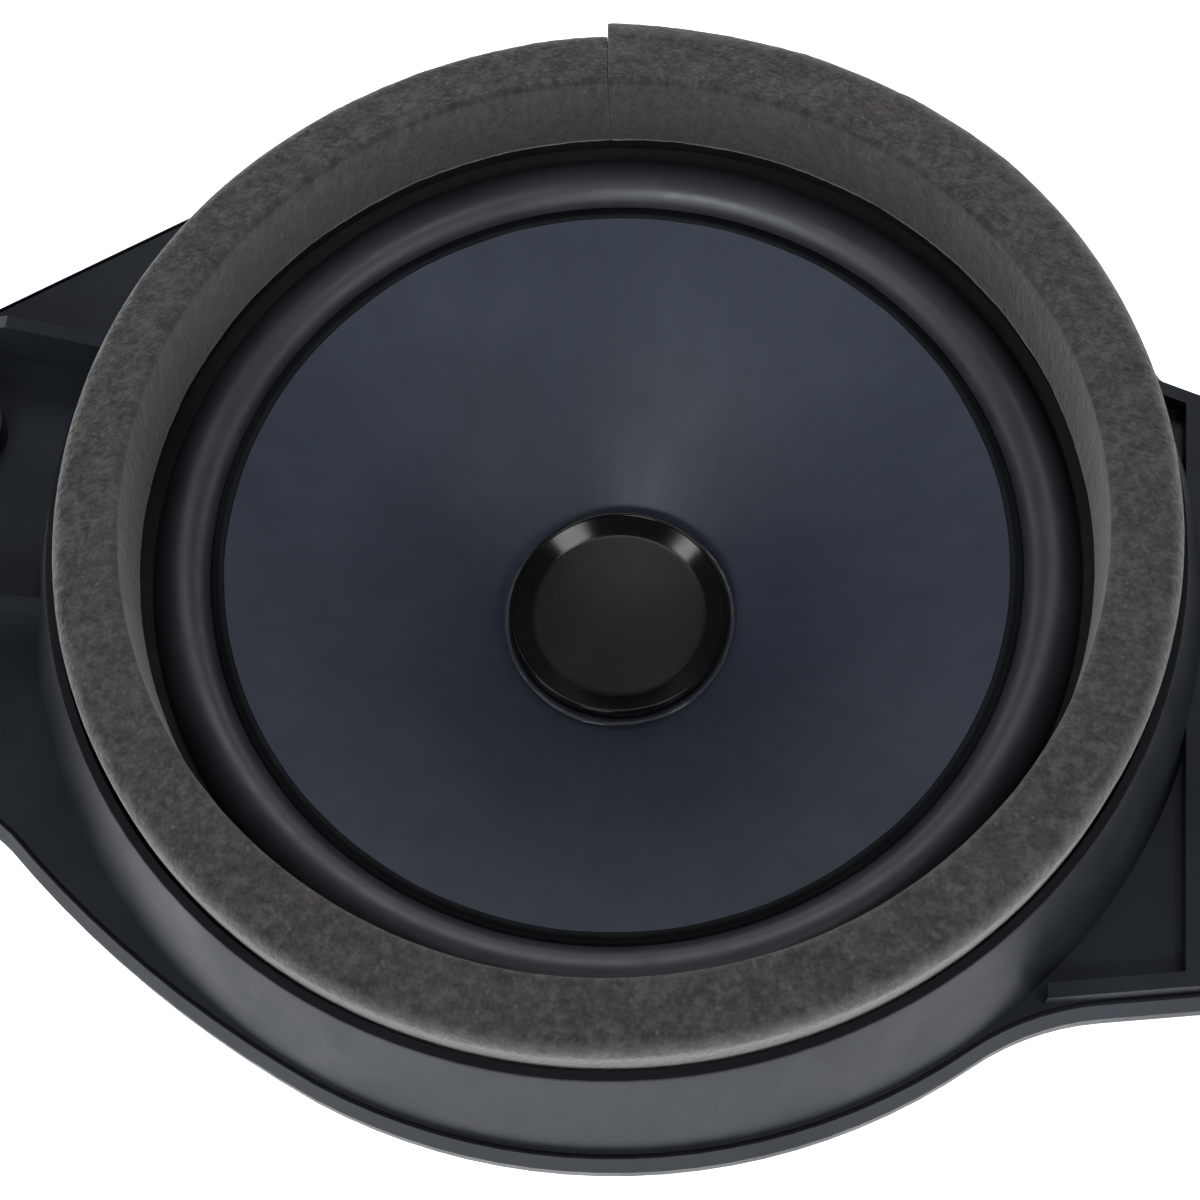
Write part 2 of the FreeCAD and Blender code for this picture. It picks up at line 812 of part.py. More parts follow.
def pole_yoke():
    """The back plate and pole in one steel piece, with a vent through the pole."""
    plate = dim("yoke_radius")
    pole = dim("pole_radius")
    step = dim("screen_radius")
    return ring_node("pole_yoke", [
        (step, fixed(0)),
        (plate - 1.0, fixed(0)),
        (plate, fixed(1.0)),
        (plate, dim("yoke_plate_top")),
        (pole, dim("yoke_plate_top")),
        (pole, dim("top_plate_top") - 0.6),
        (pole - 0.6, dim("top_plate_top")),
        (dim("vent_radius"), dim("top_plate_top")),
        (dim("vent_radius"), fixed(1.0)),
        (step, fixed(1.0)),
    ])


def pole_vent_screen():
    body = new_body("pole_vent_screen")
    top = fixed(1.0)
    thickness = dim("screen_thickness")
    sketch = new_sketch(body, "screen_sketch", "XY_Plane", top - thickness)
    draw_circle(sketch, fixed(0), fixed(0), dim("screen_radius"))
    pad(body, "screen", sketch, thickness)
    return body


def ferrite_magnet():
    inner = dim("magnet_bore_radius")
    outer = dim("magnet_radius")
    bottom = dim("yoke_plate_top")
    top = dim("top_plate_back")
    edge = 0.9
    return ring_node("ferrite_magnet", [
        (inner, bottom),
        (outer - edge, bottom),
        (outer, bottom + edge),
        (outer, top - edge),
        (outer - edge, top),
        (inner, top),
    ])


def screw_centres():
    radius = dim("screw_circle_radius")
    count = int(DIMENSIONS["screw_count"])
    return [on_circle(radius, 45.0 + 360.0 * index / count) for index in range(count)]


def top_plate():
    body = ring_node("top_plate", ring_section(
        dim("top_plate_bore_radius"),
        dim("top_plate_radius"),
        dim("top_plate_back"),
        dim("top_plate_top"),
    ))
    sketch = new_sketch(body, "thread_sketch", "XY_Plane", dim("top_plate_top"))
    for x, y in screw_centres():
        draw_circle(sketch, x, y, dim("screw_radius"))
    pocket(body, "threads", sketch, dim("top_plate_top") - dim("top_plate_back"))
    return body


def plate_screws():
    """The four pan-head screws that hold the frame's floor to the top plate."""
    top = dim("basket_floor")
    screws = []
    for index, (x, y) in enumerate(screw_centres()):
        shank = doc.addObject("Part::Cylinder", f"screw_shank_{index}")
        bind(shank, "Radius", dim("screw_radius"))
        bind(shank, "Height", dim("screw_length"))
        head = doc.addObject("Part::Cylinder", f"screw_head_{index}")
        bind(head, "Radius", dim("screw_head_radius"))
        bind(head, "Height", dim("screw_head_height"))
        recess = doc.addObject("Part::Cylinder", f"screw_recess_{index}")
        recess.Radius = 1.5
        recess.Height = 2.0
        for piece in (shank, head, recess):
            bind(piece, "Placement.Base.x", x)
            bind(piece, "Placement.Base.y", y)
        bind(shank, "Placement.Base.z", top - dim("screw_length"))
        bind(head, "Placement.Base.z", top)
        bind(recess, "Placement.Base.z", top + 0.9)
        whole = doc.addObject("Part::MultiFuse", f"screw_blank_{index}")
        whole.Shapes = [shank, head]
        screw = doc.addObject("Part::Cut", f"screw_{index}")
        screw.Base = whole
        screw.Tool = recess
        screws.append(screw)
    group = doc.addObject("Part::Compound", "plate_screws")
    group.Label = "plate_screws"
    group.Links = screws
    return group


# ---------------------------------------------------------------- moving assembly


def coil_former():
    return ring_node("coil_former", ring_section(
        dim("former_inner_radius"),
        dim("former_outer_radius"),
        dim("former_bottom"),
        dim("former_top"),
    ))


def coil_winding():
    return ring_node("coil_winding", ring_section(
        dim("former_outer_radius"),
        dim("coil_outer_radius"),
        dim("coil_bottom"),
        dim("coil_bottom") + dim("coil_height"),
    ))


def cone():
    """The cone, slightly flared, from the coil former to the surround."""
    inner = dim("former_outer_radius")
    outer = dim("cone_edge_radius")
    thick = dim("cone_thickness")
    curve = dim("cone_curve_radius")
    return ring_node("cone", [
        (inner, dim("cone_neck_height") - thick),
        (outer, dim("cone_edge_height") - thick, curve, True),
        (outer, dim("cone_edge_height")),
        (inner, dim("cone_neck_height"), curve, False),
    ])


def dome_radius(half_width, rise):
    return (half_width**2 + rise**2) / (2 * rise)


def dust_cap():
    """The cap over the coil: an upright wall, a lip that slopes inwards and a shallow dome."""
    radius = dim("cap_radius")
    base = dim("cap_base")
    shoulder = dim("cap_shoulder_height")
    valley = dim("cap_dome_radius")
    valley_level = dim("cap_valley_height")
    thick = dim("cap_thickness")
    top = valley_level + dim("cap_rise")
    base_slope = thick * 0.6
    round_run = thick * 1.4
    round_curve = thick * 0.75
    inner_step = thick * 0.4
    inner_valley = valley + inner_step
    inner_level = valley_level - thick * 1.2
    outer_curve = fixed(dome_radius(valley.value, dim("cap_rise").value))
    inner_curve = fixed(dome_radius(inner_valley.value, (top - thick - inner_level).value))
    return ring_node("dust_cap", [
        (radius - thick, base),
        (radius, base + base_slope),
        (radius, shoulder),
        (radius - round_run, shoulder, round_curve, False),
        (valley, valley_level),
        (fixed(0), top, outer_curve, False),
        (fixed(0), top - thick),
        (inner_valley, inner_level, inner_curve, True),
        (radius - thick, shoulder - thick),
    ])


def cap_glue_bead():
    """The ring of glue that holds the dust cap to the cone."""
    inner = dim("bead_inner_radius")
    outer = dim("bead_outer_radius")
    base = dim("cap_base")
    rise = dim("bead_rise")
    inner_foot = 0.3
    outer_foot = 1.2
    return ring_node("cap_glue_bead", [
        (inner, base + inner_foot),
        (outer, base + outer_foot),
        (inner, base + rise, (outer - inner) * 0.9, False),
    ])


def surround():
    """The half-roll edge: an inner lip under the cone, the roll, and a flat outer land."""
    thick = dim("surround_thickness")
    land = dim("landing_top")
    edge = dim("cone_edge_height") - dim("cone_thickness")
    lip = edge - thick
    roll_in = dim("roll_inner_radius")
    roll_out = dim("roll_outer_radius")
    radius = (roll_out - roll_in) * 0.5 + 0.15
    inset = thick * 0.825
    slope = 0.63
    drop = (roll_in - dim("surround_inner_radius")) * slope
    return ring_node("surround", [
        (dim("surround_inner_radius"), lip - drop),
        (roll_in, lip),
        (roll_in + inset, lip),
        (roll_out - inset, lip, radius - thick, True),
        (roll_out - inset, land),
        (dim("surround_outer_radius"), land),
        (dim("surround_outer_radius"), land + thick),
        (roll_out, land + thick),
        (roll_in, edge, radius, False),
        (dim("surround_inner_radius"), edge - drop),
    ])


def spider():
    """The corrugated disc that centres the coil, from the former out to its seat."""
    thick = dim("spider_thickness")
    seat = dim("spider_seat")
    first = dim("spider_wave_inner")
    span = dim("spider_wave_outer") - first
    waves = int(DIMENSIONS["spider_wave_count"])
    height = dim("spider_wave_height")
    crests = []
    for index in range(2 * waves + 1):
        lift = 0.0 if index in (0, 2 * waves) else (1.0 if index % 2 else -1.0)
        crests.append((first + span * (index / (2 * waves)), seat + height * lift))
    inner = dim("former_outer_radius")
    outer = dim("spider_outer_radius")
    under = [(inner, seat), *crests, (outer, seat)]
    over = [(radius, level + thick) for radius, level in reversed(under)]
    return ring_node("spider", under + over)


def lead_eyelets():
    """The two eyelets under the cone where the flexible leads end."""
    eyelets = []
    for side in (-1.0, 1.0):
        eyelet = doc.addObject("Part::Cylinder", f"eyelet_{len(eyelets)}")
        bind(eyelet, "Radius", dim("eyelet_radius"))
        bind(eyelet, "Height", dim("eyelet_height"))
        bind(eyelet, "Placement.Base.x", dim("blade_spacing") * (0.7 * side))
        bind(eyelet, "Placement.Base.y", dim("eyelet_distance"))
        bind(eyelet, "Placement.Base.z", dim("eyelet_base"))
        eyelets.append(eyelet)
    group = doc.addObject("Part::Compound", "lead_eyelets")
    group.Label = "lead_eyelets"
    group.Links = eyelets
    return group


# ---------------------------------------------------------------- terminals and leads


def terminal_housing():
    """The connector shell under the shelf, open towards the back."""
    body = new_body("terminal_housing")
    half = dim("housing_half_width")
    wall = dim("housing_wall")
    shelf_under = dim("spider_seat") - 2.4
    near = dim("housing_front")
    far = dim("housing_reach")
    sketch = new_sketch(body, "shell_sketch", "XY_Plane", dim("housing_bottom"))
    draw_loop(sketch, box_loop(-half, half, near, far))
    pad(body, "shell", sketch, shelf_under - dim("housing_bottom"))
    cavity = new_sketch(body, "cavity_sketch", "XY_Plane", dim("housing_bottom"))
    draw_loop(cavity, box_loop(wall - half, half - wall, near + wall, far - wall))
    depth = shelf_under - dim("housing_bottom") - 2.0
    pocket(body, "cavity", cavity, depth, upwards=True)
    slots = new_sketch(body, "housing_slot_sketch", "XY_Plane", shelf_under)
    for side in (-1.0, 1.0):
        middle = dim("blade_spacing") * (0.5 * side)
        reach = dim("blade_width") * 0.5
        deep = dim("blade_thickness") * 0.5
        centre = dim("blade_distance")
        draw_loop(slots, box_loop(middle - reach, middle + reach, centre - deep, centre + deep))
        draw_circle(
            slots, dim("rivet_spacing") * (0.5 * side), dim("rivet_distance"), dim("rivet_radius")
        )
    pocket(body, "housing_slots", slots, fixed(3.0))
    return body


def terminal_blade(name, side):
    """One flat contact that runs from the connector up to its solder tab."""
    blade = doc.addObject("Part::Box", name)
    blade.Label = name
    bind(blade, "Length", dim("blade_width"))
    bind(blade, "Width", dim("blade_thickness"))
    bind(blade, "Height", dim("blade_top") - dim("blade_bottom"))
    middle = dim("blade_spacing") * (0.5 * side)
    bind(blade, "Placement.Base.x", middle - dim("blade_width") * 0.5)
    bind(blade, "Placement.Base.y", dim("blade_distance") - dim("blade_thickness") * 0.5)
    bind(blade, "Placement.Base.z", dim("blade_bottom"))
    return blade


def terminal_rivets():
    """The two rivets that hold the connector to the shelf."""
    rivets = []
    top = dim("spider_seat")
    grip = fixed(2.4 + 2.0)
    for side in (-1.0, 1.0):
        shank = doc.addObject("Part::Cylinder", f"rivet_shank_{len(rivets)}")
        bind(shank, "Radius", dim("rivet_radius"))
        bind(shank, "Height", grip)
        bind(shank, "Placement.Base.z", top - grip)
        head = doc.addObject("Part::Cylinder", f"rivet_head_{len(rivets)}")
        bind(head, "Radius", dim("rivet_head_radius"))
        bind(head, "Height", dim("rivet_head_height"))
        bind(head, "Placement.Base.z", top)
        for piece in (shank, head):
            bind(piece, "Placement.Base.x", dim("rivet_spacing") * (0.5 * side))
            bind(piece, "Placement.Base.y", dim("rivet_distance"))
        rivet = doc.addObject("Part::MultiFuse", f"rivet_{len(rivets)}")
        rivet.Shapes = [shank, head]
        rivets.append(rivet)
    group = doc.addObject("Part::Compound", "terminal_rivets")
    group.Label = "terminal_rivets"
    group.Links = rivets
    return group


# the slack lead's way from its solder tab to its eyelet, for the lead on the +X side
LEAD_ROUTE = [
    (5.0, 59.5, 37.6),
    (8.0, 55.0, 37.0),
    (10.5, 49.5, 37.2),
    (11.6, 43.6, 38.6),
    (10.8, 38.4, 41.0),
    (8.6, 35.0, 44.4),
    (7.2, 33.4, 47.5),
]
ARC_SHARE = 0.45


def path_with_arcs(points):
    """Straight runs joined by tangent arcs, each as large as its two runs allow."""
    edges = []
    start = points[0]
    for before, corner, after in zip(points, points[1:], points[2:]):
        back = before - corner
        ahead = after - corner
        reach = ARC_SHARE * min(back.Length, ahead.Length)
        turn = math.pi - back.getAngle(ahead)
        radius = reach / math.tan(turn / 2)
        print(f"lead arc radius {radius:.1f}")
        enter = corner + back.normalize() * reach
        leave = corner + ahead.normalize() * reach
        inward = (back + ahead).normalize()
        middle = corner + inward * (radius / math.cos(turn / 2) - radius)
        edges.append(Part.LineSegment(start, enter).toShape())
        edges.append(Part.Arc(enter, middle, leave).toShape())
        start = leave
    edges.append(Part.LineSegment(start, points[-1]).toShape())
    return Part.Wire(edges)


def tinsel_lead(name, side):
    """One flexible woven lead between a solder tab and the cone."""
    radius = float(sheet.get("lead_radius"))
    points = [FreeCAD.Vector(side * x, y, z) for x, y, z in LEAD_ROUTE]
    path = path_with_arcs(points)
    heading = points[1] - points[0]
    circle = Part.Wire(Part.makeCircle(radius, points[0], heading))
    lead = doc.addObject("Part::Feature", name)
    lead.Label = name
    lead.Shape = path.makePipeShell([circle], True, False)
    ratio = lead.Shape.Volume / (math.pi * radius**2 * path.Length)
    print(f"{name} volume over section times length: {ratio:.4f}")
    return lead


# ---------------------------------------------------------------- build and write


def broken(item):
    return any(state in item.State for state in ("Invalid", "Error"))


def main():
    nodes = [
        basket_frame(),
        front_foam_gasket(),
        foam_tape(),
        surround_clamp_ring(),
        rear_foam_seal(),
        pole_yoke(),
        pole_vent_screen(),
        ferrite_magnet(),
        top_plate(),
        plate_screws(),
        coil_former(),
        coil_winding(),
        cone(),
        dust_cap(),
        cap_glue_bead(),
        surround(),
        spider(),
        lead_eyelets(),
        terminal_housing(),
        terminal_blade("terminal_blade_positive", 1.0),
        terminal_blade("terminal_blade_negative", -1.0),
        terminal_rivets(),
        tinsel_lead("tinsel_lead_positive", 1.0),
        tinsel_lead("tinsel_lead_negative", -1.0),
    ]
    doc.recompute()
    for item in doc.Objects:
        if broken(item):
            raise RuntimeError(f"{item.Name} failed: {item.State}")
    for node in nodes:
        if node.Shape.isNull() or not node.Shape.isValid():
            raise RuntimeError(f"{node.Label} has no valid shape")
    for node in nodes:
        node.Shape.exportStep(f"parts/{node.Label}.step")
        box = node.Shape.BoundBox
        print(f"{node.Label}: {node.Shape.Volume:.0f} mm3, {len(node.Shape.Solids)} solids, "
              f"{box.XMin:.1f} {box.YMin:.1f} {box.ZMin:.1f} to "
              f"{box.XMax:.1f} {box.YMax:.1f} {box.ZMax:.1f}")


main()
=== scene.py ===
"""Looks of the door woofer: soft parts, fine detail, materials, light and camera."""
import math

import bmesh
import bpy
import numpy as np
from mathutils import Matrix, Vector, noise


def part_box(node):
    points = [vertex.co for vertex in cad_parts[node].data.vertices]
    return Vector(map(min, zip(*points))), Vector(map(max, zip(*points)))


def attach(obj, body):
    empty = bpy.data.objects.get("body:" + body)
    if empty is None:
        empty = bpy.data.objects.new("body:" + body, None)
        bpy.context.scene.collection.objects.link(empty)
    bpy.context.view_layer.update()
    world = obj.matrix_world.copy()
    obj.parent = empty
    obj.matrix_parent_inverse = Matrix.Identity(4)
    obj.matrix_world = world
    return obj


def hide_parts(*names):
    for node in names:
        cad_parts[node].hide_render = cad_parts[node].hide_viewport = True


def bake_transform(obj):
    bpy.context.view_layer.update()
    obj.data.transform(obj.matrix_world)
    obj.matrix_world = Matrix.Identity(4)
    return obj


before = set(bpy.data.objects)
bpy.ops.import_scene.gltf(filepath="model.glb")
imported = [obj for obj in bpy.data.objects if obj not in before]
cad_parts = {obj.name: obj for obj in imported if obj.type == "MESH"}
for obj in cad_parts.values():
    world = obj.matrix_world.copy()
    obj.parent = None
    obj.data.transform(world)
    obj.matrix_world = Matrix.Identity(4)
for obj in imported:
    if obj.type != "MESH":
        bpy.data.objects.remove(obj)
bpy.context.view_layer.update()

MM = 0.001
FIXED, MOVING = "frame", "cone"
AXIS_TURN = 2 * math.pi

# The width of the valley between the cone's edge and the roll, the radii of the roll's outer
# foot and of the surround's inner edge, and the level at which the spider meets the former.
EDGE_VALLEY = 1.4 * MM
ROLL_OUTER = 72.4 * MM
SURROUND_INNER = 60 * MM
SPIDER_LEVEL = 34.2 * MM
# The front foam strip's width, and its inner and outer top roundings.
FOAM_WIDTH = 10.6 * MM
FOAM_INNER_ROUND = 0.9 * MM
FOAM_OUTER_ROUND = 2.2 * MM
# Painted shade: how far up the foam ring's inner wall it reaches, and the dark colours painted as
# shade at the wall's foot, on the surround outside the roll and on the frame rim's top.
WALL_FADE = 12 * MM
WALL_FOOT_SHADE = (0.004, 0.004, 0.0045)
RUBBER_PAINTED_SHADE = (0.002, 0.002, 0.0025)
RIM_PAINTED_SHADE = (0.003, 0.003, 0.004)
# Foam cells are longer through the strip's thickness: the pattern's scale along X, Y and Z.
CELL_STRETCH = (1.0, 1.0, 0.45)
# How much brighter than the foam's light tone its loose skins are, and how much its outer rounded
# edge is brightened as a painted highlight.
SPARK_GAIN, EDGE_HIGHLIGHT_GAIN = 2.1, 1.75

BOX = {node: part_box(node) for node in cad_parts}


def top_of(node):
    return BOX[node][1].z


def bottom_of(node):
    return BOX[node][0].z


def radius_of(node):
    return BOX[node][1].x


# ---------------------------------------------------------------- camera, light and floor

CAMERA_PLACE = Vector((25.1, -153.6, 398.7)) * MM
CAMERA_TARGET = Vector((0.23, -17.77, 88.0)) * MM
CAMERA_LENS = 70.4
CAMERA_ROLL = math.radians(-5.05)
CAMERA_SENSOR = 36.0

# The light tent's strength towards its walls and its roof, and the heights of the directions
# (of unit length) at which the wall starts to fade and the roof starts.
TENT_WALL, TENT_ROOF = 2.1, 0.15
TENT_FADE_START, TENT_FADE_END = 0.05, 0.52

# Name, azimuth and elevation in degrees, distance, width and depth in metres, power in watts.
SOFTBOXES = (
    ("key_left", -44, 34, 1.1, (0.7, 0.45), 1.0),
    ("key_right", 58, 34, 1.1, (0.6, 0.45), 1.1),
    ("front_top", -14, 41, 1.1, (0.36, 0.24), 3.6),
    ("back_top", 180, 50, 1.1, (0.5, 0.4), 2.0),
    ("front_low", -6, 22, 1.1, (0.9, 0.14), 0.9),
    ("lamp_right", 62, 69, 1.2, (0.30, 0.14), 1.1),
    ("lamp_left", -70, 61, 1.2, (0.26, 0.12), 0.9),
)

FLOOR_HALF_SIDE = 6.0
FLOOR_GLOW = 0.8


def add_object(name, data):
    item = bpy.data.objects.new(name, data)
    bpy.context.scene.collection.objects.link(item)
    return item


def make_camera():
    data = bpy.data.cameras.new("camera")
    data.sensor_width = CAMERA_SENSOR
    data.lens = CAMERA_LENS
    data.clip_start, data.clip_end = 0.01, 20.0
    camera = add_object("camera", data)
    aim = (CAMERA_TARGET - CAMERA_PLACE).to_track_quat("-Z", "Y").to_matrix()
    roll = Matrix.Rotation(CAMERA_ROLL, 3, "Z")
    camera.matrix_world = Matrix.Translation(CAMERA_PLACE) @ (aim @ roll).to_4x4()
    bpy.context.scene.camera = camera


def add_softbox(name, azimuth, elevation, distance, size, power):
    """A rectangular area light that faces the object; azimuth 0 is the near side."""
    turn, lift = math.radians(azimuth), math.radians(elevation)
    away = Vector((
        math.sin(turn) * math.cos(lift), -math.cos(turn) * math.cos(lift), math.sin(lift)
    ))
    data = bpy.data.lights.new(name, "AREA")
    data.shape = "RECTANGLE"
    data.size, data.size_y = size
    data.energy = power
    light = add_object(name, data)
    light.location = away * distance
    light.rotation_mode = "QUATERNION"
    light.rotation_quaternion = (-away).to_track_quat("-Z", "Y")


def make_light():
    world = bpy.data.worlds.new("studio")
    world.use_nodes = True
    bpy.context.scene.world = world
    nodes, links = world.node_tree.nodes, world.node_tree.links
    background = nodes["Background"]
    background.inputs["Color"].default_value = (1.0, 1.0, 1.0, 1.0)
    # a light tent: bright walls near the floor and a dim roof
    height = nodes.new("ShaderNodeSeparateXYZ")
    links.new(nodes.new("ShaderNodeTexCoord").outputs["Generated"], height.inputs[0])
    fade = nodes.new("ShaderNodeMapRange")
    for name, value in (("From Min", TENT_FADE_START), ("From Max", TENT_FADE_END),
                        ("To Min", TENT_WALL), ("To Max", TENT_ROOF)):
        fade.inputs[name].default_value = value
    links.new(height.outputs["Z"], fade.inputs["Value"])
    links.new(fade.outputs["Result"], background.inputs["Strength"])
    for softbox in SOFTBOXES:
        add_softbox(*softbox)
    bpy.context.scene.view_settings.view_transform = "Standard"


def make_floor():
    """A plain pale floor; its own glow keeps it white under the dim roof."""
    side = FLOOR_HALF_SIDE
    mesh = bpy.data.meshes.new("floor")
    plan = [(-side, -side, 0), (side, -side, 0), (side, side, 0), (-side, side, 0)]
    mesh.from_pydata(plan, [], [(0, 1, 2, 3)])
    floor = add_object("floor", mesh)
    recipe = Recipe("floor_card")
    recipe.set("Base Color", (0.9, 0.9, 0.9, 1.0))
    recipe.set("Roughness", 0.9)
    recipe.set("Emission Color", (1.0, 1.0, 1.0, 1.0))
    recipe.set("Emission Strength", FLOOR_GLOW)
    mesh.materials.append(recipe.material)


# ---------------------------------------------------------------- materials


class Recipe:
    """Wires one procedural material. Sizes of patterns are given in millimetres."""

    def __init__(self, name):
        self.material = bpy.data.materials.new(name)
        self.material.use_nodes = True
        self.tree = self.material.node_tree
        self.shader = self.tree.nodes["Principled BSDF"]
        self.place = self.node("ShaderNodeTexCoord").outputs["Object"]

    def node(self, kind, inputs=(), **settings):
        made = self.tree.nodes.new(kind)
        for key, value in settings.items():
            setattr(made, key, value)
        for key, value in dict(inputs).items():
            if isinstance(value, bpy.types.NodeSocket):
                self.tree.links.new(value, made.inputs[key])
            else:
                made.inputs[key].default_value = value
        return made

    def set(self, socket, value):
        if isinstance(value, bpy.types.NodeSocket):
            self.tree.links.new(value, self.shader.inputs[socket])
        else:
            self.shader.inputs[socket].default_value = value

    def source(self, socket):
        """The output that is wired to one of the shader's sockets."""
        return self.shader.inputs[socket].links[0].from_socket

    def noise(self, size, detail=3.0, place=None, warp=0.0):
        found = self.node("ShaderNodeTexNoise", {
            "Vector": place or self.place, "Scale": 1 / (size * MM), "Detail": detail,
            "Distortion": warp,
        })
        return found.outputs["Fac"]

    def cells(self, size):
        """Distance from the nearest cell's middle, as a share of the cells' size."""
        found = self.node("ShaderNodeTexVoronoi", {
            "Vector": self.place, "Scale": 1 / (size * MM),
        }, feature="F1")
        return found.outputs["Distance"]

    def span(self, value, low, high, to_low=0.0, to_high=1.0):
        found = self.node("ShaderNodeMapRange", {
            "Value": value, "From Min": low, "From Max": high,
            "To Min": to_low, "To Max": to_high,
        })
        return found.outputs["Result"]

    def math(self, operation, first, second=0.0):
        found = self.node("ShaderNodeMath", operation=operation)
        for index, value in enumerate((first, second)):
            if isinstance(value, bpy.types.NodeSocket):
                self.tree.links.new(value, found.inputs[index])
            else:
                found.inputs[index].default_value = value
        return found.outputs[0]

    def ramp(self, value, stops):
        found = self.node("ShaderNodeValToRGB", {"Fac": value})
        elements = found.color_ramp.elements
        while len(elements) < len(stops):
            elements.new(0.5)
        for element, (position, colour) in zip(elements, stops):
            element.position = position
            element.color = (*colour, 1.0)
        return found.outputs["Color"]

    def mix(self, factor, first, second, blend="MIX"):
        found = self.node("ShaderNodeMix", data_type="RGBA", blend_type=blend)
        slots = ((0, factor), (6, first), (7, second))
        for index, value in slots:
            if isinstance(value, bpy.types.NodeSocket):
                self.tree.links.new(value, found.inputs[index])
            elif index:
                found.inputs[index].default_value = (*value, 1.0)
            else:
                found.inputs[index].default_value = value
        return found.outputs[2]

    def bump(self, height, depth):
        inputs = {"Height": height, "Distance": depth * MM, "Strength": 1.0}
        return self.node("ShaderNodeBump", inputs).outputs["Normal"]

    def radius_and_angle(self):
        parts = self.node("ShaderNodeSeparateXYZ", {"Vector": self.place}).outputs
        flat = self.node("ShaderNodeCombineXYZ", {"X": parts["X"], "Y": parts["Y"]})
        length = self.node(
            "ShaderNodeVectorMath", {0: flat.outputs[0]}, operation="LENGTH"
        )
        angle = self.math("ARCTAN2", parts["Y"], parts["X"])
        return length.outputs["Value"], angle, parts["Z"]


def moulded(name, dark, light, rough, grain=0.5, depth=0.012, tone=14.0, specular=0.5):
    """Moulded plastic or rubber: slow tone changes, a fine grain and uneven gloss."""
    recipe = Recipe(name)
    clouds = recipe.noise(tone, 4.0)
    specks = recipe.noise(grain * 1.7, 2.0)
    tones = recipe.math("ADD", recipe.math("MULTIPLY", clouds, 0.75),
                        recipe.math("MULTIPLY", specks, 0.25))
    recipe.set("Base Color", recipe.ramp(tones, [(0.3, dark), (0.7, light)]))
    smears = recipe.noise(tone * 0.55, 5.0, warp=0.6)
    recipe.set("Roughness", recipe.span(smears, 0.3, 0.7, rough[0], rough[1]))
    recipe.set("Specular IOR Level", specular)
    fine = recipe.noise(grain, 3.0)
    recipe.set("Normal", recipe.bump(fine, depth))
    return recipe


def frame_plastic():
    """Moulded frame plastic, darkened on the rim's top as painted shade under the foam's edge, and
    rougher there.
    """
    recipe = moulded("frame_plastic_look", (0.0045, 0.006, 0.0085), (0.011, 0.014, 0.019),
                     (0.36, 0.50), grain=0.35, depth=0.008, tone=22.0, specular=0.36)
    recipe.set("Specular Tint", (0.80, 0.90, 1.0, 1.0))
    _, _, height = recipe.radius_and_angle()
    rim = top_of("basket_frame")
    # painted shade along the rim's top, just under the foam
    rim_shade = recipe.span(height, rim - 0.6 * MM, rim - 0.1 * MM)
    recipe.set("Base Color", recipe.mix(rim_shade, recipe.source("Base Color"), RIM_PAINTED_SHADE))
    rough = recipe.source("Roughness")
    recipe.set("Roughness", recipe.math("ADD", rough, recipe.math("MULTIPLY", rim_shade, 0.45)))
    return recipe.material


def ring_plastic():
    """The clamp ring's dull black plastic, darkened further as painted shade for the gap under the
    foam.
    """
    return moulded("ring_plastic_look", (0.003, 0.003, 0.0035), (0.007, 0.007, 0.008),
                   (0.60, 0.75), specular=0.2).material


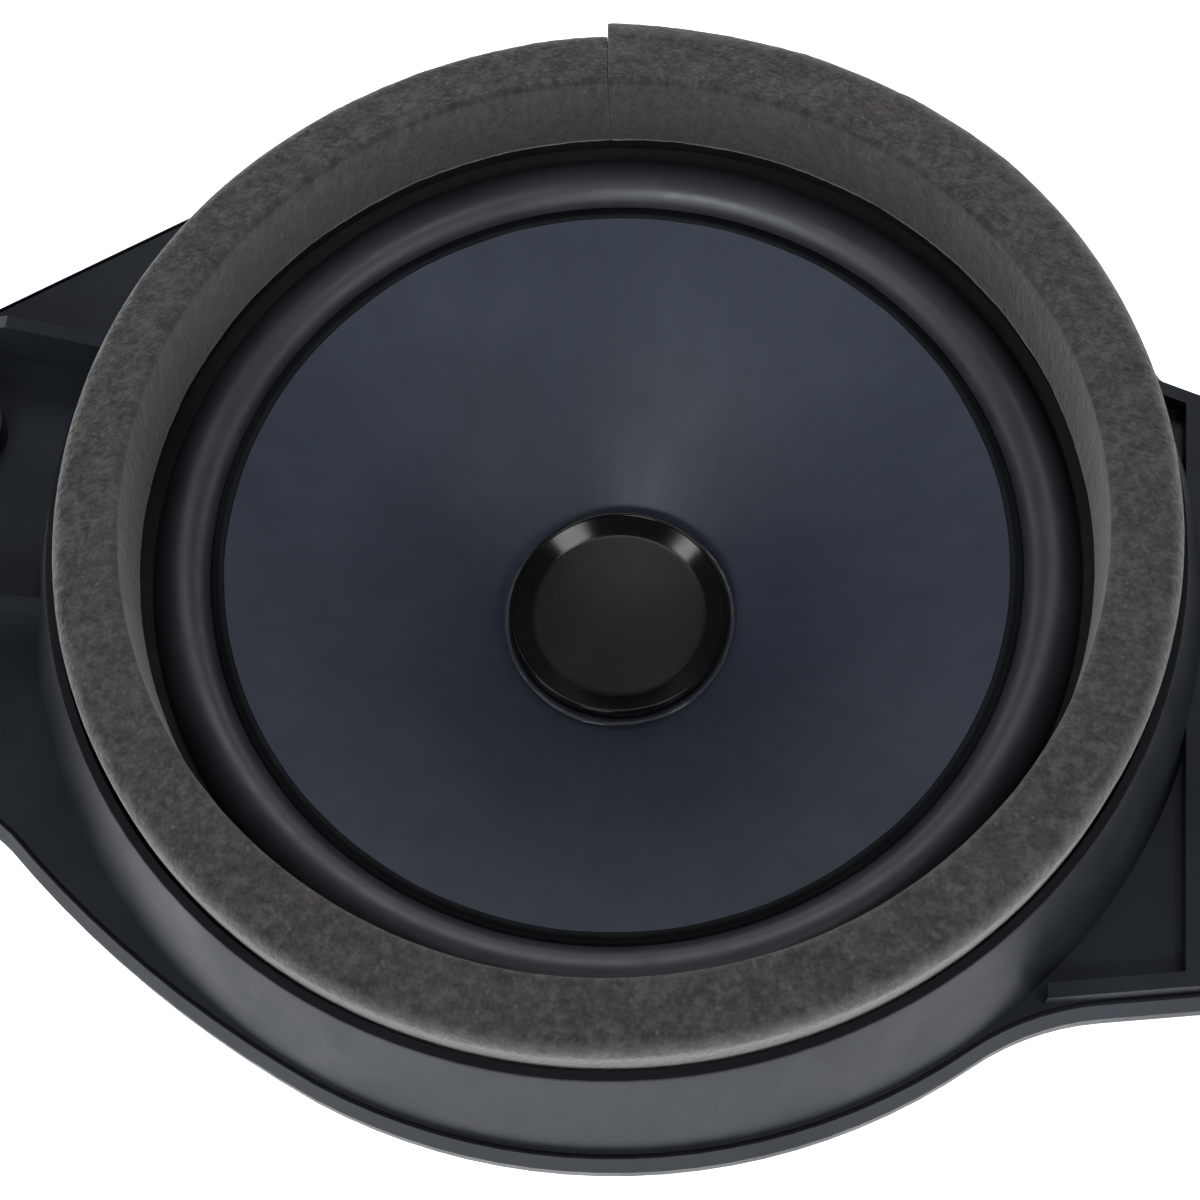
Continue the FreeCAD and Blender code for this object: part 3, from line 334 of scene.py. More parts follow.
def foam_look(name, dark, middle, light, cell, edges=None):
    """Open-cell foam: pits and skins of single cells, with slow stains of colour.

    edges are the radius of a ring's inner wall, which gets painted shade that deepens towards its
    foot, the radius of its outer edge, which gets a painted highlight, and the height of the
    wall's foot.
    """
    recipe = Recipe(name)
    radius, _, height = recipe.radius_and_angle()
    recipe.place = recipe.node("ShaderNodeVectorMath", {0: recipe.place, 1: CELL_STRETCH},
                               operation="MULTIPLY").outputs[0]
    coarse = recipe.noise(cell, 2.0, warp=0.3)
    fine = recipe.noise(cell * 0.42, 3.0)
    depth = recipe.math("ADD", recipe.math("MULTIPLY", coarse, 0.62),
                        recipe.math("MULTIPLY", fine, 0.38))
    mottle = recipe.noise(5.5, 3.0)
    tones = recipe.math("ADD", recipe.math("MULTIPLY", depth, 0.80),
                        recipe.math("MULTIPLY", mottle, 0.20))
    body = recipe.ramp(tones, [(0.38, dark), (0.50, middle), (0.63, light)])
    warm = recipe.ramp(recipe.noise(7.5, 3.0), [
        (0.30, (0.94, 1.04, 0.94)), (0.44, (1.0, 1.0, 1.0)), (0.56, (1.0, 1.0, 1.0)),
        (0.72, (1.10, 0.97, 0.95)),
    ])
    cold = recipe.ramp(recipe.noise(10.0, 2.0, warp=0.8), [
        (0.35, (1.0, 1.0, 1.0)), (0.52, (1.0, 1.0, 1.0)), (0.68, (0.98, 0.96, 1.10)),
    ])
    tinted = recipe.mix(1.0, recipe.mix(1.0, body, warm, "MULTIPLY"), cold, "MULTIPLY")
    sparks = recipe.span(recipe.cells(2.6), 0.0, 0.16, 1.0, 0.0)
    spotted = recipe.mix(recipe.math("MULTIPLY", sparks, 0.55), tinted,
                         tuple(SPARK_GAIN * c for c in light))
    if edges:
        inner, outer, low = edges
        # painted shade: the inner wall is darkened, and darkened nearly to black towards its foot
        shaded = recipe.span(radius, inner + 0.1 * MM, inner + 0.6 * MM, 1.0, 0.0)
        spotted = recipe.mix(shaded, spotted, (0.74, 0.74, 0.76), "MULTIPLY")
        foot = recipe.span(height, low, low + WALL_FADE, 0.85, 0.0)
        spotted = recipe.mix(recipe.math("MULTIPLY", foot, shaded), spotted, WALL_FOOT_SHADE)
        # painted highlight along the outer rounded edge, with a ragged inner border
        ragged = recipe.math("ADD", radius, recipe.math("MULTIPLY", mottle, 0.8 * MM))
        edge_highlight = recipe.span(ragged, outer - 1.4 * MM, outer + 0.3 * MM)
        spotted = recipe.mix(recipe.math("MULTIPLY", edge_highlight, 0.55), spotted,
                             tuple(EDGE_HIGHLIGHT_GAIN * c for c in light))
    recipe.set("Base Color", spotted)
    recipe.set("Roughness", 0.95)
    recipe.set("Specular IOR Level", 0.25)
    recipe.set("Sheen Weight", 0.25)
    recipe.set("Sheen Roughness", 0.6)
    if edges:
        # the knife pressed the cells of the cut walls flat
        flat = recipe.span(radius, inner + 0.3 * MM, inner + 0.9 * MM, 0.5, 1.0)
        depth = recipe.math("MULTIPLY", depth, flat)
    recipe.set("Normal", recipe.bump(depth, cell * 0.5))
    return recipe.material


def cone_look():
    """Pressed polypropylene: satin, blue-grey, with faint flow marks from the neck out."""
    recipe = Recipe("cone_polypropylene_look")
    radius, angle, _ = recipe.radius_and_angle()
    rays = recipe.node("ShaderNodeCombineXYZ", {
        "X": recipe.math("MULTIPLY", angle, 0.035), "Y": recipe.math("MULTIPLY", radius, 0.25),
    }).outputs[0]
    flow = recipe.noise(2.2, 3.0, place=rays, warp=0.4)
    clouds = recipe.noise(16.0, 4.0)
    tones = recipe.math("ADD", recipe.math("MULTIPLY", flow, 0.4),
                        recipe.math("MULTIPLY", clouds, 0.6))
    recipe.set("Base Color", recipe.ramp(tones, [
        (0.32, (0.0225, 0.0295, 0.0475)), (0.52, (0.028, 0.036, 0.056)),
        (0.70, (0.0345, 0.0425, 0.064)),
    ]))
    recipe.set("Roughness", recipe.span(recipe.noise(9.0, 5.0, warp=0.5), 0.3, 0.7, 0.42, 0.52))
    recipe.set("Specular IOR Level", 0.42)
    recipe.set("Specular Tint", (0.86, 0.93, 1.0, 1.0))
    grain = recipe.math("ADD", recipe.noise(0.45, 3.0), recipe.math("MULTIPLY", flow, 0.8))
    recipe.set("Normal", recipe.bump(grain, 0.012))
    return recipe.material


def cap_look():
    """Dust cap: a felt-dull face inside a glossy bevelled rim."""
    recipe = Recipe("cap_plastic_look")
    radius, _, _ = recipe.radius_and_angle()
    matte = recipe.span(radius, 13.7 * MM, 14.8 * MM, 1.0, 0.0)
    clouds = recipe.noise(8.0, 4.0)
    felt = recipe.ramp(clouds, [
        (0.28, (0.004, 0.004, 0.0055)), (0.55, (0.0065, 0.0065, 0.008)),
        (0.75, (0.010, 0.0085, 0.010)),
    ])
    gloss = recipe.ramp(clouds, [(0.3, (0.001, 0.001, 0.0015)), (0.7, (0.003, 0.003, 0.004))])
    recipe.set("Base Color", recipe.mix(matte, gloss, felt))
    recipe.set("Roughness", recipe.span(matte, 0.0, 1.0, 0.12, 0.46))
    recipe.set("Specular IOR Level", 0.30)
    grain = recipe.math("MULTIPLY", recipe.noise(0.4, 3.0), matte)
    recipe.set("Normal", recipe.bump(grain, 0.03))
    return recipe.material


def rubber_look():
    """Surround rubber, darkened as painted shade from the roll's outer foot outwards, where the
    foam overhangs it, and rougher there.
    """
    recipe = moulded("surround_rubber_look", (0.017, 0.018, 0.022), (0.028, 0.029, 0.035),
                     (0.34, 0.46), grain=0.28, depth=0.010, tone=9.0, specular=0.72)
    radius, _, _ = recipe.radius_and_angle()
    # painted shade: darkens the roll's outer slope and the land beyond it
    roll_foot_shade = recipe.span(radius, ROLL_OUTER - 1.8 * MM, ROLL_OUTER + 0.3 * MM)
    recipe.set("Base Color", recipe.mix(roll_foot_shade, recipe.source("Base Color"), RUBBER_PAINTED_SHADE))
    rough = recipe.source("Roughness")
    recipe.set("Roughness", recipe.math("ADD", rough, recipe.math("MULTIPLY", roll_foot_shade, 0.5)))
    recipe.set("Specular Tint", (0.86, 0.93, 1.0, 1.0))
    return recipe.material


def cloth_look():
    """Resin-stiffened cotton: a plain weave of warp and weft, tinted yellow-brown."""
    recipe = Recipe("spider_cloth_look")
    parts = recipe.node("ShaderNodeSeparateXYZ", {"Vector": recipe.place}).outputs
    pitch = math.pi / (0.42 * MM)
    warp = recipe.math("SINE", recipe.math("MULTIPLY", parts["X"], pitch))
    weft = recipe.math("SINE", recipe.math("MULTIPLY", parts["Y"], pitch))
    weave = recipe.span(recipe.math("MULTIPLY", warp, weft), -1.0, 1.0)
    stains = recipe.noise(11.0, 4.0)
    tones = recipe.math("ADD", recipe.math("MULTIPLY", weave, 0.45),
                        recipe.math("MULTIPLY", stains, 0.55))
    recipe.set("Base Color", recipe.ramp(tones, [
        (0.25, (0.17, 0.11, 0.045)), (0.55, (0.34, 0.24, 0.11)), (0.8, (0.46, 0.35, 0.18)),
    ]))
    recipe.set("Roughness", recipe.span(stains, 0.3, 0.7, 0.62, 0.85))
    recipe.set("Normal", recipe.bump(weave, 0.09))
    return recipe.material


def metal(name, dark, light, rough, grain, depth, ring=0.0, metallic=1.0):
    """Plated or bare metal; ring is the pitch of lathe marks in millimetres, if any."""
    recipe = Recipe(name)
    clouds = recipe.noise(7.0, 5.0, warp=0.4)
    spots = recipe.cells(3.2)
    tones = recipe.math("ADD", recipe.math("MULTIPLY", clouds, 0.8),
                        recipe.math("MULTIPLY", spots, 0.2))
    recipe.set("Base Color", recipe.ramp(tones, [(0.28, dark), (0.68, light)]))
    recipe.set("Metallic", metallic)
    recipe.set("Roughness", recipe.span(clouds, 0.3, 0.7, rough[0], rough[1]))
    height = recipe.noise(grain, 3.0)
    if ring:
        radius, _, _ = recipe.radius_and_angle()
        turns = recipe.math("SINE", recipe.math("MULTIPLY", radius, AXIS_TURN / (ring * MM)))
        height = recipe.math("ADD", height, recipe.math("MULTIPLY", turns, 0.35))
    recipe.set("Normal", recipe.bump(height, depth))
    return recipe.material


def ferrite_look():
    """Sintered ferrite: dark, dull and coarse."""
    return moulded("ferrite_look", (0.020, 0.020, 0.022), (0.050, 0.049, 0.050),
                   (0.55, 0.8), grain=0.7, depth=0.05, tone=6.0).material


def winding_look():
    """Enamelled wire: one turn after another up the former."""
    recipe = Recipe("copper_wire_look")
    _, _, height = recipe.radius_and_angle()
    turns = recipe.math("SINE", recipe.math("MULTIPLY", height, AXIS_TURN / (0.32 * MM)))
    gloss = recipe.noise(2.5, 3.0)
    recipe.set("Base Color", recipe.ramp(gloss, [
        (0.3, (0.36, 0.10, 0.035)), (0.7, (0.62, 0.22, 0.08)),
    ]))
    recipe.set("Metallic", 0.9)
    recipe.set("Roughness", recipe.span(gloss, 0.3, 0.7, 0.22, 0.4))
    recipe.set("Normal", recipe.bump(turns, 0.05))
    return recipe.material


def glue_look(name, dark, light, rough):
    """Set glue with a thin glossy skin."""
    recipe = moulded(name, dark, light, rough, grain=1.6, depth=0.02, tone=4.0)
    recipe.set("Coat Weight", 0.25)
    recipe.set("Coat Roughness", 0.12)
    return recipe.material


def make_materials():
    return {
        "frame_plastic": frame_plastic(),
        "ring_plastic": ring_plastic(),
        "open_cell_foam": foam_look("open_cell_foam_look", (0.0135, 0.013, 0.013),
                                    (0.0325, 0.032, 0.0315), (0.061, 0.060, 0.058), 1.5,
                                    edges=(radius_of("front_foam_gasket") - FOAM_WIDTH,
                                           radius_of("front_foam_gasket"),
                                           bottom_of("front_foam_gasket"))),
        "adhesive_tape": moulded("adhesive_tape_look", (0.03, 0.03, 0.03),
                                 (0.07, 0.068, 0.064), (0.5, 0.7)).material,
        "seal_foam": foam_look("seal_foam_look", (0.012, 0.012, 0.012),
                               (0.026, 0.026, 0.027), (0.050, 0.050, 0.052), 0.6),
        "plated_steel": metal("plated_steel_look", (0.13, 0.135, 0.14), (0.27, 0.275, 0.28),
                              (0.26, 0.42), 0.9, 0.012, ring=0.35),
        "ferrite": ferrite_look(),
        "screen_steel": metal("screen_steel_look", (0.30, 0.30, 0.31), (0.52, 0.52, 0.53),
                              (0.3, 0.45), 0.3, 0.01),
        "screw_steel": metal("screw_steel_look", (0.50, 0.47, 0.36), (0.70, 0.67, 0.55),
                             (0.24, 0.38), 0.5, 0.012),
        "former_aluminium": metal("former_aluminium_look", (0.60, 0.60, 0.61),
                                  (0.78, 0.78, 0.79), (0.25, 0.38), 0.6, 0.008),
        "copper_wire": winding_look(),
        "cone_polypropylene": cone_look(),
        "cap_plastic": cap_look(),
        # near-black adhesive; its darkness is also painted shade for the valley at the cone's edge
        "edge_glue_and_shade": moulded("edge_glue_look", (0.0035, 0.004, 0.006), (0.007, 0.008, 0.011),
                             (0.6, 0.75), grain=0.6, depth=0.02, specular=0.16).material,
        "glue": glue_look("glue_look", (0.018, 0.021, 0.028), (0.032, 0.037, 0.048),
                          (0.26, 0.42)),
        "surround_rubber": rubber_look(),
        "spider_cloth": cloth_look(),
        "brass_plated": metal("brass_plated_look", (0.55, 0.38, 0.13), (0.78, 0.58, 0.26),
                              (0.22, 0.36), 0.4, 0.01),
        "connector_plastic": moulded("connector_plastic_look", (0.018, 0.018, 0.019),
                                     (0.034, 0.034, 0.036), (0.38, 0.52)).material,
        "tin_brass": metal("tin_brass_look", (0.52, 0.51, 0.48), (0.74, 0.73, 0.70),
                           (0.22, 0.36), 0.5, 0.01),
        "tinsel_braid": metal("tinsel_braid_look", (0.34, 0.24, 0.16), (0.60, 0.46, 0.34),
                              (0.3, 0.45), 0.15, 0.02, metallic=0.85),
    }


CAD_LOOKS = {
    "basket_frame": "frame_plastic",
    "foam_tape": "adhesive_tape",
    "surround_clamp_ring": "ring_plastic",
    "pole_yoke": "plated_steel",
    "top_plate": "plated_steel",
    "ferrite_magnet": "ferrite",
    "plate_screws": "screw_steel",
    "coil_former": "former_aluminium",
    "coil_winding": "copper_wire",
    "cone": "cone_polypropylene",
    "dust_cap": "cap_plastic",
    "lead_eyelets": "brass_plated",
    "terminal_housing": "connector_plastic",
    "terminal_blade_positive": "tin_brass",
    "terminal_blade_negative": "tin_brass",
    "terminal_rivets": "screw_steel",
}


def dress_cad_nodes(materials):
    """Gives each CAD node that stays visible its material."""
    for node, look in CAD_LOOKS.items():
        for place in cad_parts[node].material_slots:
            place.material = materials[look]


# ---------------------------------------------------------------- mesh helpers


def dress(item, material, body, slot, *nodes):
    """Material, body and the CAD nodes that the piece stands for; slot is not used."""
    item.data.materials.append(material)
    if body:
        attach(item, body)
    if nodes:
        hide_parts(*nodes)
    return item


def grid_mesh(name, points, wrap_rows, wrap_columns):
    """A smooth quad mesh from an array of rows of points; a tube's open ends are capped."""
    rows, columns = points.shape[:2]
    row = np.arange(rows if wrap_rows else rows - 1)
    column = np.arange(columns if wrap_columns else columns - 1)
    next_row, next_column = (row + 1) % rows, (column + 1) % columns
    faces = np.stack([
        row[:, None] * columns + column[None, :],
        next_row[:, None] * columns + column[None, :],
        next_row[:, None] * columns + next_column[None, :],
        row[:, None] * columns + next_column[None, :],
    ], axis=-1).reshape(-1, 4)
    ends = []
    if wrap_columns and not wrap_rows:
        last = rows * columns
        ends = [list(range(columns)), list(range(last - 1, last - columns - 1, -1))]
    mesh = bpy.data.meshes.new(name)
    mesh.from_pydata(points.reshape(-1, 3).tolist(), [], faces.tolist() + ends)
    mesh.shade_smooth()
    mesh.update()
    item = add_object(name, mesh)
    outward(mesh)
    return item


def outward(mesh):
    """Turns every face outwards."""
    work = bmesh.new()
    work.from_mesh(mesh)
    bmesh.ops.recalc_face_normals(work, faces=work.faces)
    work.to_mesh(mesh)
    work.free()


def arc_points(centre, radius, start, end, count):
    """Points on an arc in (distance from axis, height), angles in degrees."""
    angles = np.radians(np.linspace(start, end, count))
    return np.stack([centre[0] + radius * np.cos(angles), centre[1] + radius * np.sin(angles)], 1)


def run_points(start, end, step):
    """Points along a straight run, its end left out."""
    count = max(1, int(round(math.dist(start, end) / step)))
    share = np.arange(count)[:, None] / count
    return np.array(start) * (1 - share) + np.array(end) * share


def loop_normals(loop):
    """Unit normals of a closed outline, pointing to its right-hand side."""
    along = np.roll(loop, -1, 0) - np.roll(loop, 1, 0)
    side = np.stack([along[:, 1], -along[:, 0]], 1)
    return side / np.maximum(np.linalg.norm(side, axis=1, keepdims=True), 1e-12)


def turned(loop, angles):
    """An outline of (distance from axis, height) points turned about the axis."""
    cos, sin = np.cos(angles)[:, None], np.sin(angles)[:, None]
    return np.stack([cos * loop[None, :, 0], sin * loop[None, :, 0],
                     np.broadcast_to(loop[None, :, 1], (len(angles), len(loop)))], -1)


def full_turn(count):
    """Evenly spaced angles once round the axis, the first one not repeated."""
    return np.arange(count) * AXIS_TURN / count


def ring_mesh(name, count, section):
    """A closed ring; section gives its (distance from axis, height) points in a direction."""
    rows = []
    for angle in full_turn(count):
        here = Vector((math.cos(angle), math.sin(angle), 0))
        rows.append([(r * here.x, r * here.y, z) for r, z in section(here)])
    return grid_mesh(name, np.array(rows), True, True)


def field(points, size, offset=0.0):
    """Smooth noise from -1 to 1 at each point; size in metres."""
    shift = Vector((offset, offset * 1.7, offset * 0.6))
    flat = points.reshape(-1, 3) / size
    values = [noise.noise(Vector(p) + shift) for p in flat]
    return np.array(values).reshape(points.shape[:-1])


def pits(points, size):
    """Depth of open cells at each point: 1 at a cell's middle and 0 at its walls."""
    flat = points.reshape(-1, 3) / size
    values = []
    for point in flat:
        near = noise.voronoi(Vector(point))[0]
        values.append(max(0.0, 1 - near[0] / max(near[1], 1e-6)))
    return np.array(values).reshape(points.shape[:-1])


# ---------------------------------------------------------------- foam rings

# Where the strip's ends meet, and half the gap between them, in degrees.
SEAM_ANGLE = 96.0
SEAM_GAP = 0.03
# How far the hand-laid strip's top outer edge stands from true: (angle in degrees, mm).
STRIP_WANDER = (
    (96, -0.8), (122, -1.2), (145, -0.9), (180, -0.9), (215, -0.4), (240, 0.2), (270, 0.5),
    (330, 0.3), (365, 0.3), (384, 0.6), (397, 1.1), (408, 1.4), (425, 1.0), (440, 1.3), (451, 1.7),
    (456, 2.5),
)


def foam_outline(inner, outer, low, high, outer_round, inner_round, step):
    """The strip's section, clockwise from its lower inner corner."""
    top_in, top_out = inner + inner_round, outer - outer_round
    parts = [
        run_points((inner, low), (inner, high - inner_round), step * 1.4),
        arc_points((top_in, high - inner_round), inner_round, 180, 90, 5)[:-1],
        run_points((top_in, high), (top_out, high), step),
        arc_points((top_out, high - outer_round), outer_round, 90, 0, 8)[:-1],
        run_points((outer, high - outer_round), (outer, low), step * 1.2),
        run_points((outer, low), (inner, low), step * 5),
    ]
    return np.concatenate(parts)


def push(points, loop, angles, amount):
    """Moves each point along its own outline normal, turned about the axis."""
    sides = loop_normals(loop) * -1
    directions = turned(sides, angles)
    return points + directions * amount[..., None]


def make_front_foam(material):
    """The strip bent into a ring: wandering outer edge, open cells and a butted seam."""
    low, high = bottom_of("front_foam_gasket"), top_of("front_foam_gasket")
    outer, width = radius_of("front_foam_gasket"), FOAM_WIDTH
    inner = outer - width
    loop = foam_outline(inner, outer, low, high, FOAM_OUTER_ROUND, FOAM_INNER_ROUND, 0.36 * MM)
    gap = math.radians(SEAM_GAP)
    start = math.radians(SEAM_ANGLE)
    angles = np.linspace(start + gap, start + AXIS_TURN - gap, 1150)
    stops = np.array(STRIP_WANDER)
    wander = np.interp(np.degrees(angles), stops[:, 0], stops[:, 1]) * MM
    window = np.hanning(25) / np.hanning(25).sum()
    smooth = np.convolve(np.pad(wander, 12, mode="edge"), window, mode="valid")
    points = turned(loop, angles)
    across = np.clip((loop[:, 0] - inner) / width, 0, 1)
    lift = np.clip((loop[:, 1] - low) / (high - low), 0, 1)
    share = across * np.clip((lift - 0.35) / 0.65, 0, 1) ** 1.2
    shift = smooth[:, None] * share[None, :]
    points[..., 0] += shift * np.cos(angles)[:, None]
    points[..., 1] += shift * np.sin(angles)[:, None]
    points[..., 2] += 0.22 * MM * lift[None, :] * field(points * [1, 1, 0], 34 * MM, 3.0) * 2
    cells = points * CELL_STRETCH
    bulk = 0.14 * field(cells, 6.5 * MM, 1.0) + 0.09 * field(cells, 1.9 * MM, 2.0)
    relief = (bulk - 0.10 * pits(cells, 1.3 * MM)) * MM
    upright = np.abs(loop_normals(loop)[:, 0]) > 0.9
    relief *= np.where(upright, 0.2, 1.0)[None, :]
    end = np.minimum(angles - angles[0], angles[-1] - angles)
    rounding = np.exp(-end / math.radians(0.25)) * -0.16 * MM
    points = push(points, loop, angles, relief + rounding[:, None])
    ring = grid_mesh("front_foam_strip", points, False, True)
    dress(ring, material, FIXED, "open_cell_foam", "front_foam_gasket")


def make_rear_foam(material):
    """The thin foam seal behind the flange."""
    low, high = bottom_of("rear_foam_seal"), top_of("rear_foam_seal")
    outer = radius_of("rear_foam_seal")
    inner = outer - 3.8 * MM
    loop = foam_outline(inner, outer, low, high, 0.5 * MM, 0.5 * MM, 0.7 * MM)
    angles = full_turn(560)
    points = turned(loop, angles)
    relief = (0.16 * field(points, 3.0 * MM, 5.0) - 0.10 * pits(points, 0.9 * MM)) * MM - 0.05 * MM
    points = push(points, loop, angles, relief)
    ring = grid_mesh("rear_seal_strip", points, True, True)
    dress(ring, material, FIXED, "seal_foam", "rear_foam_seal")


# ---------------------------------------------------------------- surround and spider


def blend_outwards(piece):
    """Bakes the piece's placement into its mesh."""
    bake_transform(piece)


def thick_loop(line, thickness):
    """A closed outline of even thickness below a line of (distance, height) points."""
    along = np.gradient(line, axis=0)
    side = np.stack([along[:, 1], -along[:, 0]], 1)
    side /= np.linalg.norm(side, axis=1, keepdims=True)
    return np.concatenate([line, (line + side * thickness)[::-1]])


def make_shaded_edge_glue(material):
    """The thin run of adhesive in the valley round the cone's edge, coloured near black as painted
    shade for the valley.
    """
    edge, level = radius_of("cone"), top_of("cone")

    def section(here):
        swell = 0.10 * MM * noise.noise(here * 6.0 + Vector((9, 0, 0)))
        return [
            (edge - 0.75 * MM + swell, level - 0.42 * MM),
            (edge - 0.7 * MM + swell, level - 0.26 * MM),
            (edge - 0.35 * MM, level + 0.02 * MM), (edge + 0.05 * MM, level + 0.05 * MM),
            (edge + 0.35 * MM, level - 0.15 * MM), (edge + 0.8 * MM, level - 0.38 * MM),
            (edge + EDGE_VALLEY, level - 0.45 * MM), (edge + EDGE_VALLEY, level - 0.66 * MM),
            (edge + 0.1 * MM, level - 0.7 * MM),
        ]

    dress(ring_mesh("cone_edge_glue", 360, section), material, MOVING, "glue")


def make_surround(material):
    """Rubber surround: a skirt under the cone's edge, a half roll and an outer land."""
    edge_radius, edge = radius_of("cone"), top_of("cone") - 0.6 * MM
    outer, crest = radius_of("surround"), top_of("surround")
    roll_in, roll_out = edge_radius + EDGE_VALLEY, ROLL_OUTER
    land = bottom_of("surround_clamp_ring")
    centre, half = (roll_in + roll_out) / 2, (roll_out - roll_in) / 2
    rise = crest - edge
    curve = (half * half + rise * rise) / (2 * rise)
    spread = math.degrees(math.asin(half / curve))
    skirt_slope, thickness = 0.63, 0.55 * MM
    lip_drop = (roll_in - SURROUND_INNER) * skirt_slope
    roll = arc_points((centre, crest - curve), curve, 90 + spread, 90 - spread, 46)
    line = np.concatenate([
        run_points((SURROUND_INNER, edge - lip_drop), (roll_in, edge), 0.5 * MM),
        roll,
        run_points((roll_out + 0.3 * MM, land - 0.05 * MM), (outer, land), 0.9 * MM),
        [(outer, land)],
    ])
    loop = thick_loop(line, thickness)
    angles = full_turn(420)
    points = turned(loop, angles)
    points[..., 2] += 0.10 * MM * field(points, 26 * MM, 9.0)
    piece = grid_mesh("surround_roll", points, True, True)
    dress(piece, material, None, "surround_rubber", "surround")
    blend_outwards(piece)


def make_spider(material):
    """The corrugated cloth disc that centres the coil."""
    seat, waves, height = SPIDER_LEVEL, 5, 1.3 * MM
    inner, outer = radius_of("coil_former"), radius_of("spider")
    first, last = 16 * MM, 44 * MM
    radii = np.linspace(inner, outer, 150)
    share = np.clip((radii - first) / (last - first), 0, 1)
    fade = np.clip(np.minimum(share, 1 - share) * 14, 0, 1)
    levels = seat + 0.5 * MM + height * np.sin(share * waves * AXIS_TURN) * fade
    loop = thick_loop(np.stack([radii, levels], 1), 0.45 * MM)
    angles = full_turn(300)
    points = turned(loop, angles)
    piece = grid_mesh("spider_disc", points, True, True)
    dress(piece, material, None, "spider_cloth", "spider")
    blend_outwards(piece)


# ---------------------------------------------------------------- glue, leads and small parts


# The level of the cone's face at the coil former, and how far its face bulges half way out.
CONE_ROOT = 36.3 * MM
CONE_BULGE = 0.957 * MM


def cone_level(radius):
    """Height of the cone's front face at a distance from the axis."""
    inner, low = radius_of("coil_former"), CONE_ROOT
    outer, high = radius_of("cone"), top_of("cone")
    share = (radius - inner) / (outer - inner)
    bulge = 4 * CONE_BULGE * share * (1 - share)
    return low + (high - low) * share + bulge


def make_glue_bead(material):
    """The bead round the cap's foot, a little wider in some places than in others."""
    inner, outer = radius_of("dust_cap") - 0.25 * MM, radius_of("cap_glue_bead")
    steps, rise, root = 12, 0.95 * MM, 0.25 * MM

    def section(here):
        swell = 1 + 0.16 * noise.noise(here * 2.1) + 0.07 * noise.noise(here * 7.3)
        reach = inner + (outer - inner) * swell
        row = []
        for step in range(steps):
            share = step / (steps - 1)
            radius = inner + (reach - inner) * share
            dome = math.sin(math.pi * min(1.0, share * 0.62 + 0.38)) ** 0.8
            row.append((radius, cone_level(radius) + rise * swell * dome))
        row.append((reach, cone_level(reach) - root))
        row.append((inner, cone_level(inner) - root))
        return row

    dress(ring_mesh("cap_bead", 220, section), material, MOVING, "glue", "cap_glue_bead")


def make_neck_glue(material):
    """The fillet of glue where coil former, spider and cone meet, seen from behind."""
    inner, seat = radius_of("coil_former"), SPIDER_LEVEL

    def section(here):
        swell = 1 + 0.2 * noise.noise(here * 2.7 + Vector((4, 0, 0)))
        row = []
        for share in np.linspace(0, 1, 9):
            row.append((inner + 1.5 * MM * swell * share**1.4,
                        seat - 1.3 * MM * swell * (1 - share)**1.4))
        row.append((inner - 0.05 * MM, seat + 0.05 * MM))
        return row

    dress(ring_mesh("neck_glue_ring", 160, section), material, MOVING, "glue")


# The flexible leads' route, from a blade's tip to its eyelet, in mm on the positive side.
LEAD_ROUTE = (
    (5.0, 59.5, 37.6), (8.0, 55.0, 37.0), (10.5, 49.5, 37.2), (11.6, 43.6, 38.6),
    (10.8, 38.4, 41.0), (8.6, 35.0, 44.4), (7.2, 33.4, 47.5),
)


def smooth_line(points):
    """The points of the NURBS spline that those points control."""
    curve = bpy.data.curves.new("route", "CURVE")
    curve.dimensions = "3D"
    spline = curve.splines.new("NURBS")
    spline.points.add(len(points) - 1)
    for target, point in zip(spline.points, points):
        target.co = (*point, 1.0)
    spline.order_u = 3
    spline.use_endpoint_u = True
    spline.resolution_u = 26
    holder = bpy.data.objects.new("route", curve)
    line = bpy.data.meshes.new_from_object(holder)
    found = np.array([v.co for v in line.vertices])
    bpy.data.objects.remove(holder)
    bpy.data.curves.remove(curve)
    bpy.data.meshes.remove(line)
    return found


def carried_frames(line):
    """Two unit vectors across the line at each point, turning as little as they can."""
    along = np.gradient(line, axis=0)
    along /= np.linalg.norm(along, axis=1, keepdims=True)
    across = np.cross(along[0], (0.0, 0.0, 1.0))
    across /= np.linalg.norm(across)
    first = []
    for direction in along:
        across = across - direction * across.dot(direction)
        across = across / np.linalg.norm(across)
        first.append(across)
    first = np.array(first)
    return first, np.cross(along, first)


def tube(line, radius, sides=6):
    """Rows of points of a round tube about a line."""
    first, second = carried_frames(line)
    turn = full_turn(sides)
    ring = first[:, None, :] * np.cos(turn)[None, :, None] \
        + second[:, None, :] * np.sin(turn)[None, :, None]
    return line[:, None, :] + ring * radius


def joined(name, parts):
    """One object from several tubes with capped ends."""
    pieces = [grid_mesh(f"{name}_{index}", part, False, True) for index, part in enumerate(parts)]
    work = bmesh.new()
    for piece in pieces:
        work.from_mesh(piece.data)
        mesh = piece.data
        bpy.data.objects.remove(piece)
        bpy.data.meshes.remove(mesh)
    mesh = bpy.data.meshes.new(name)
    work.to_mesh(mesh)
    work.free()
    mesh.shade_smooth()
    return add_object(name, mesh)


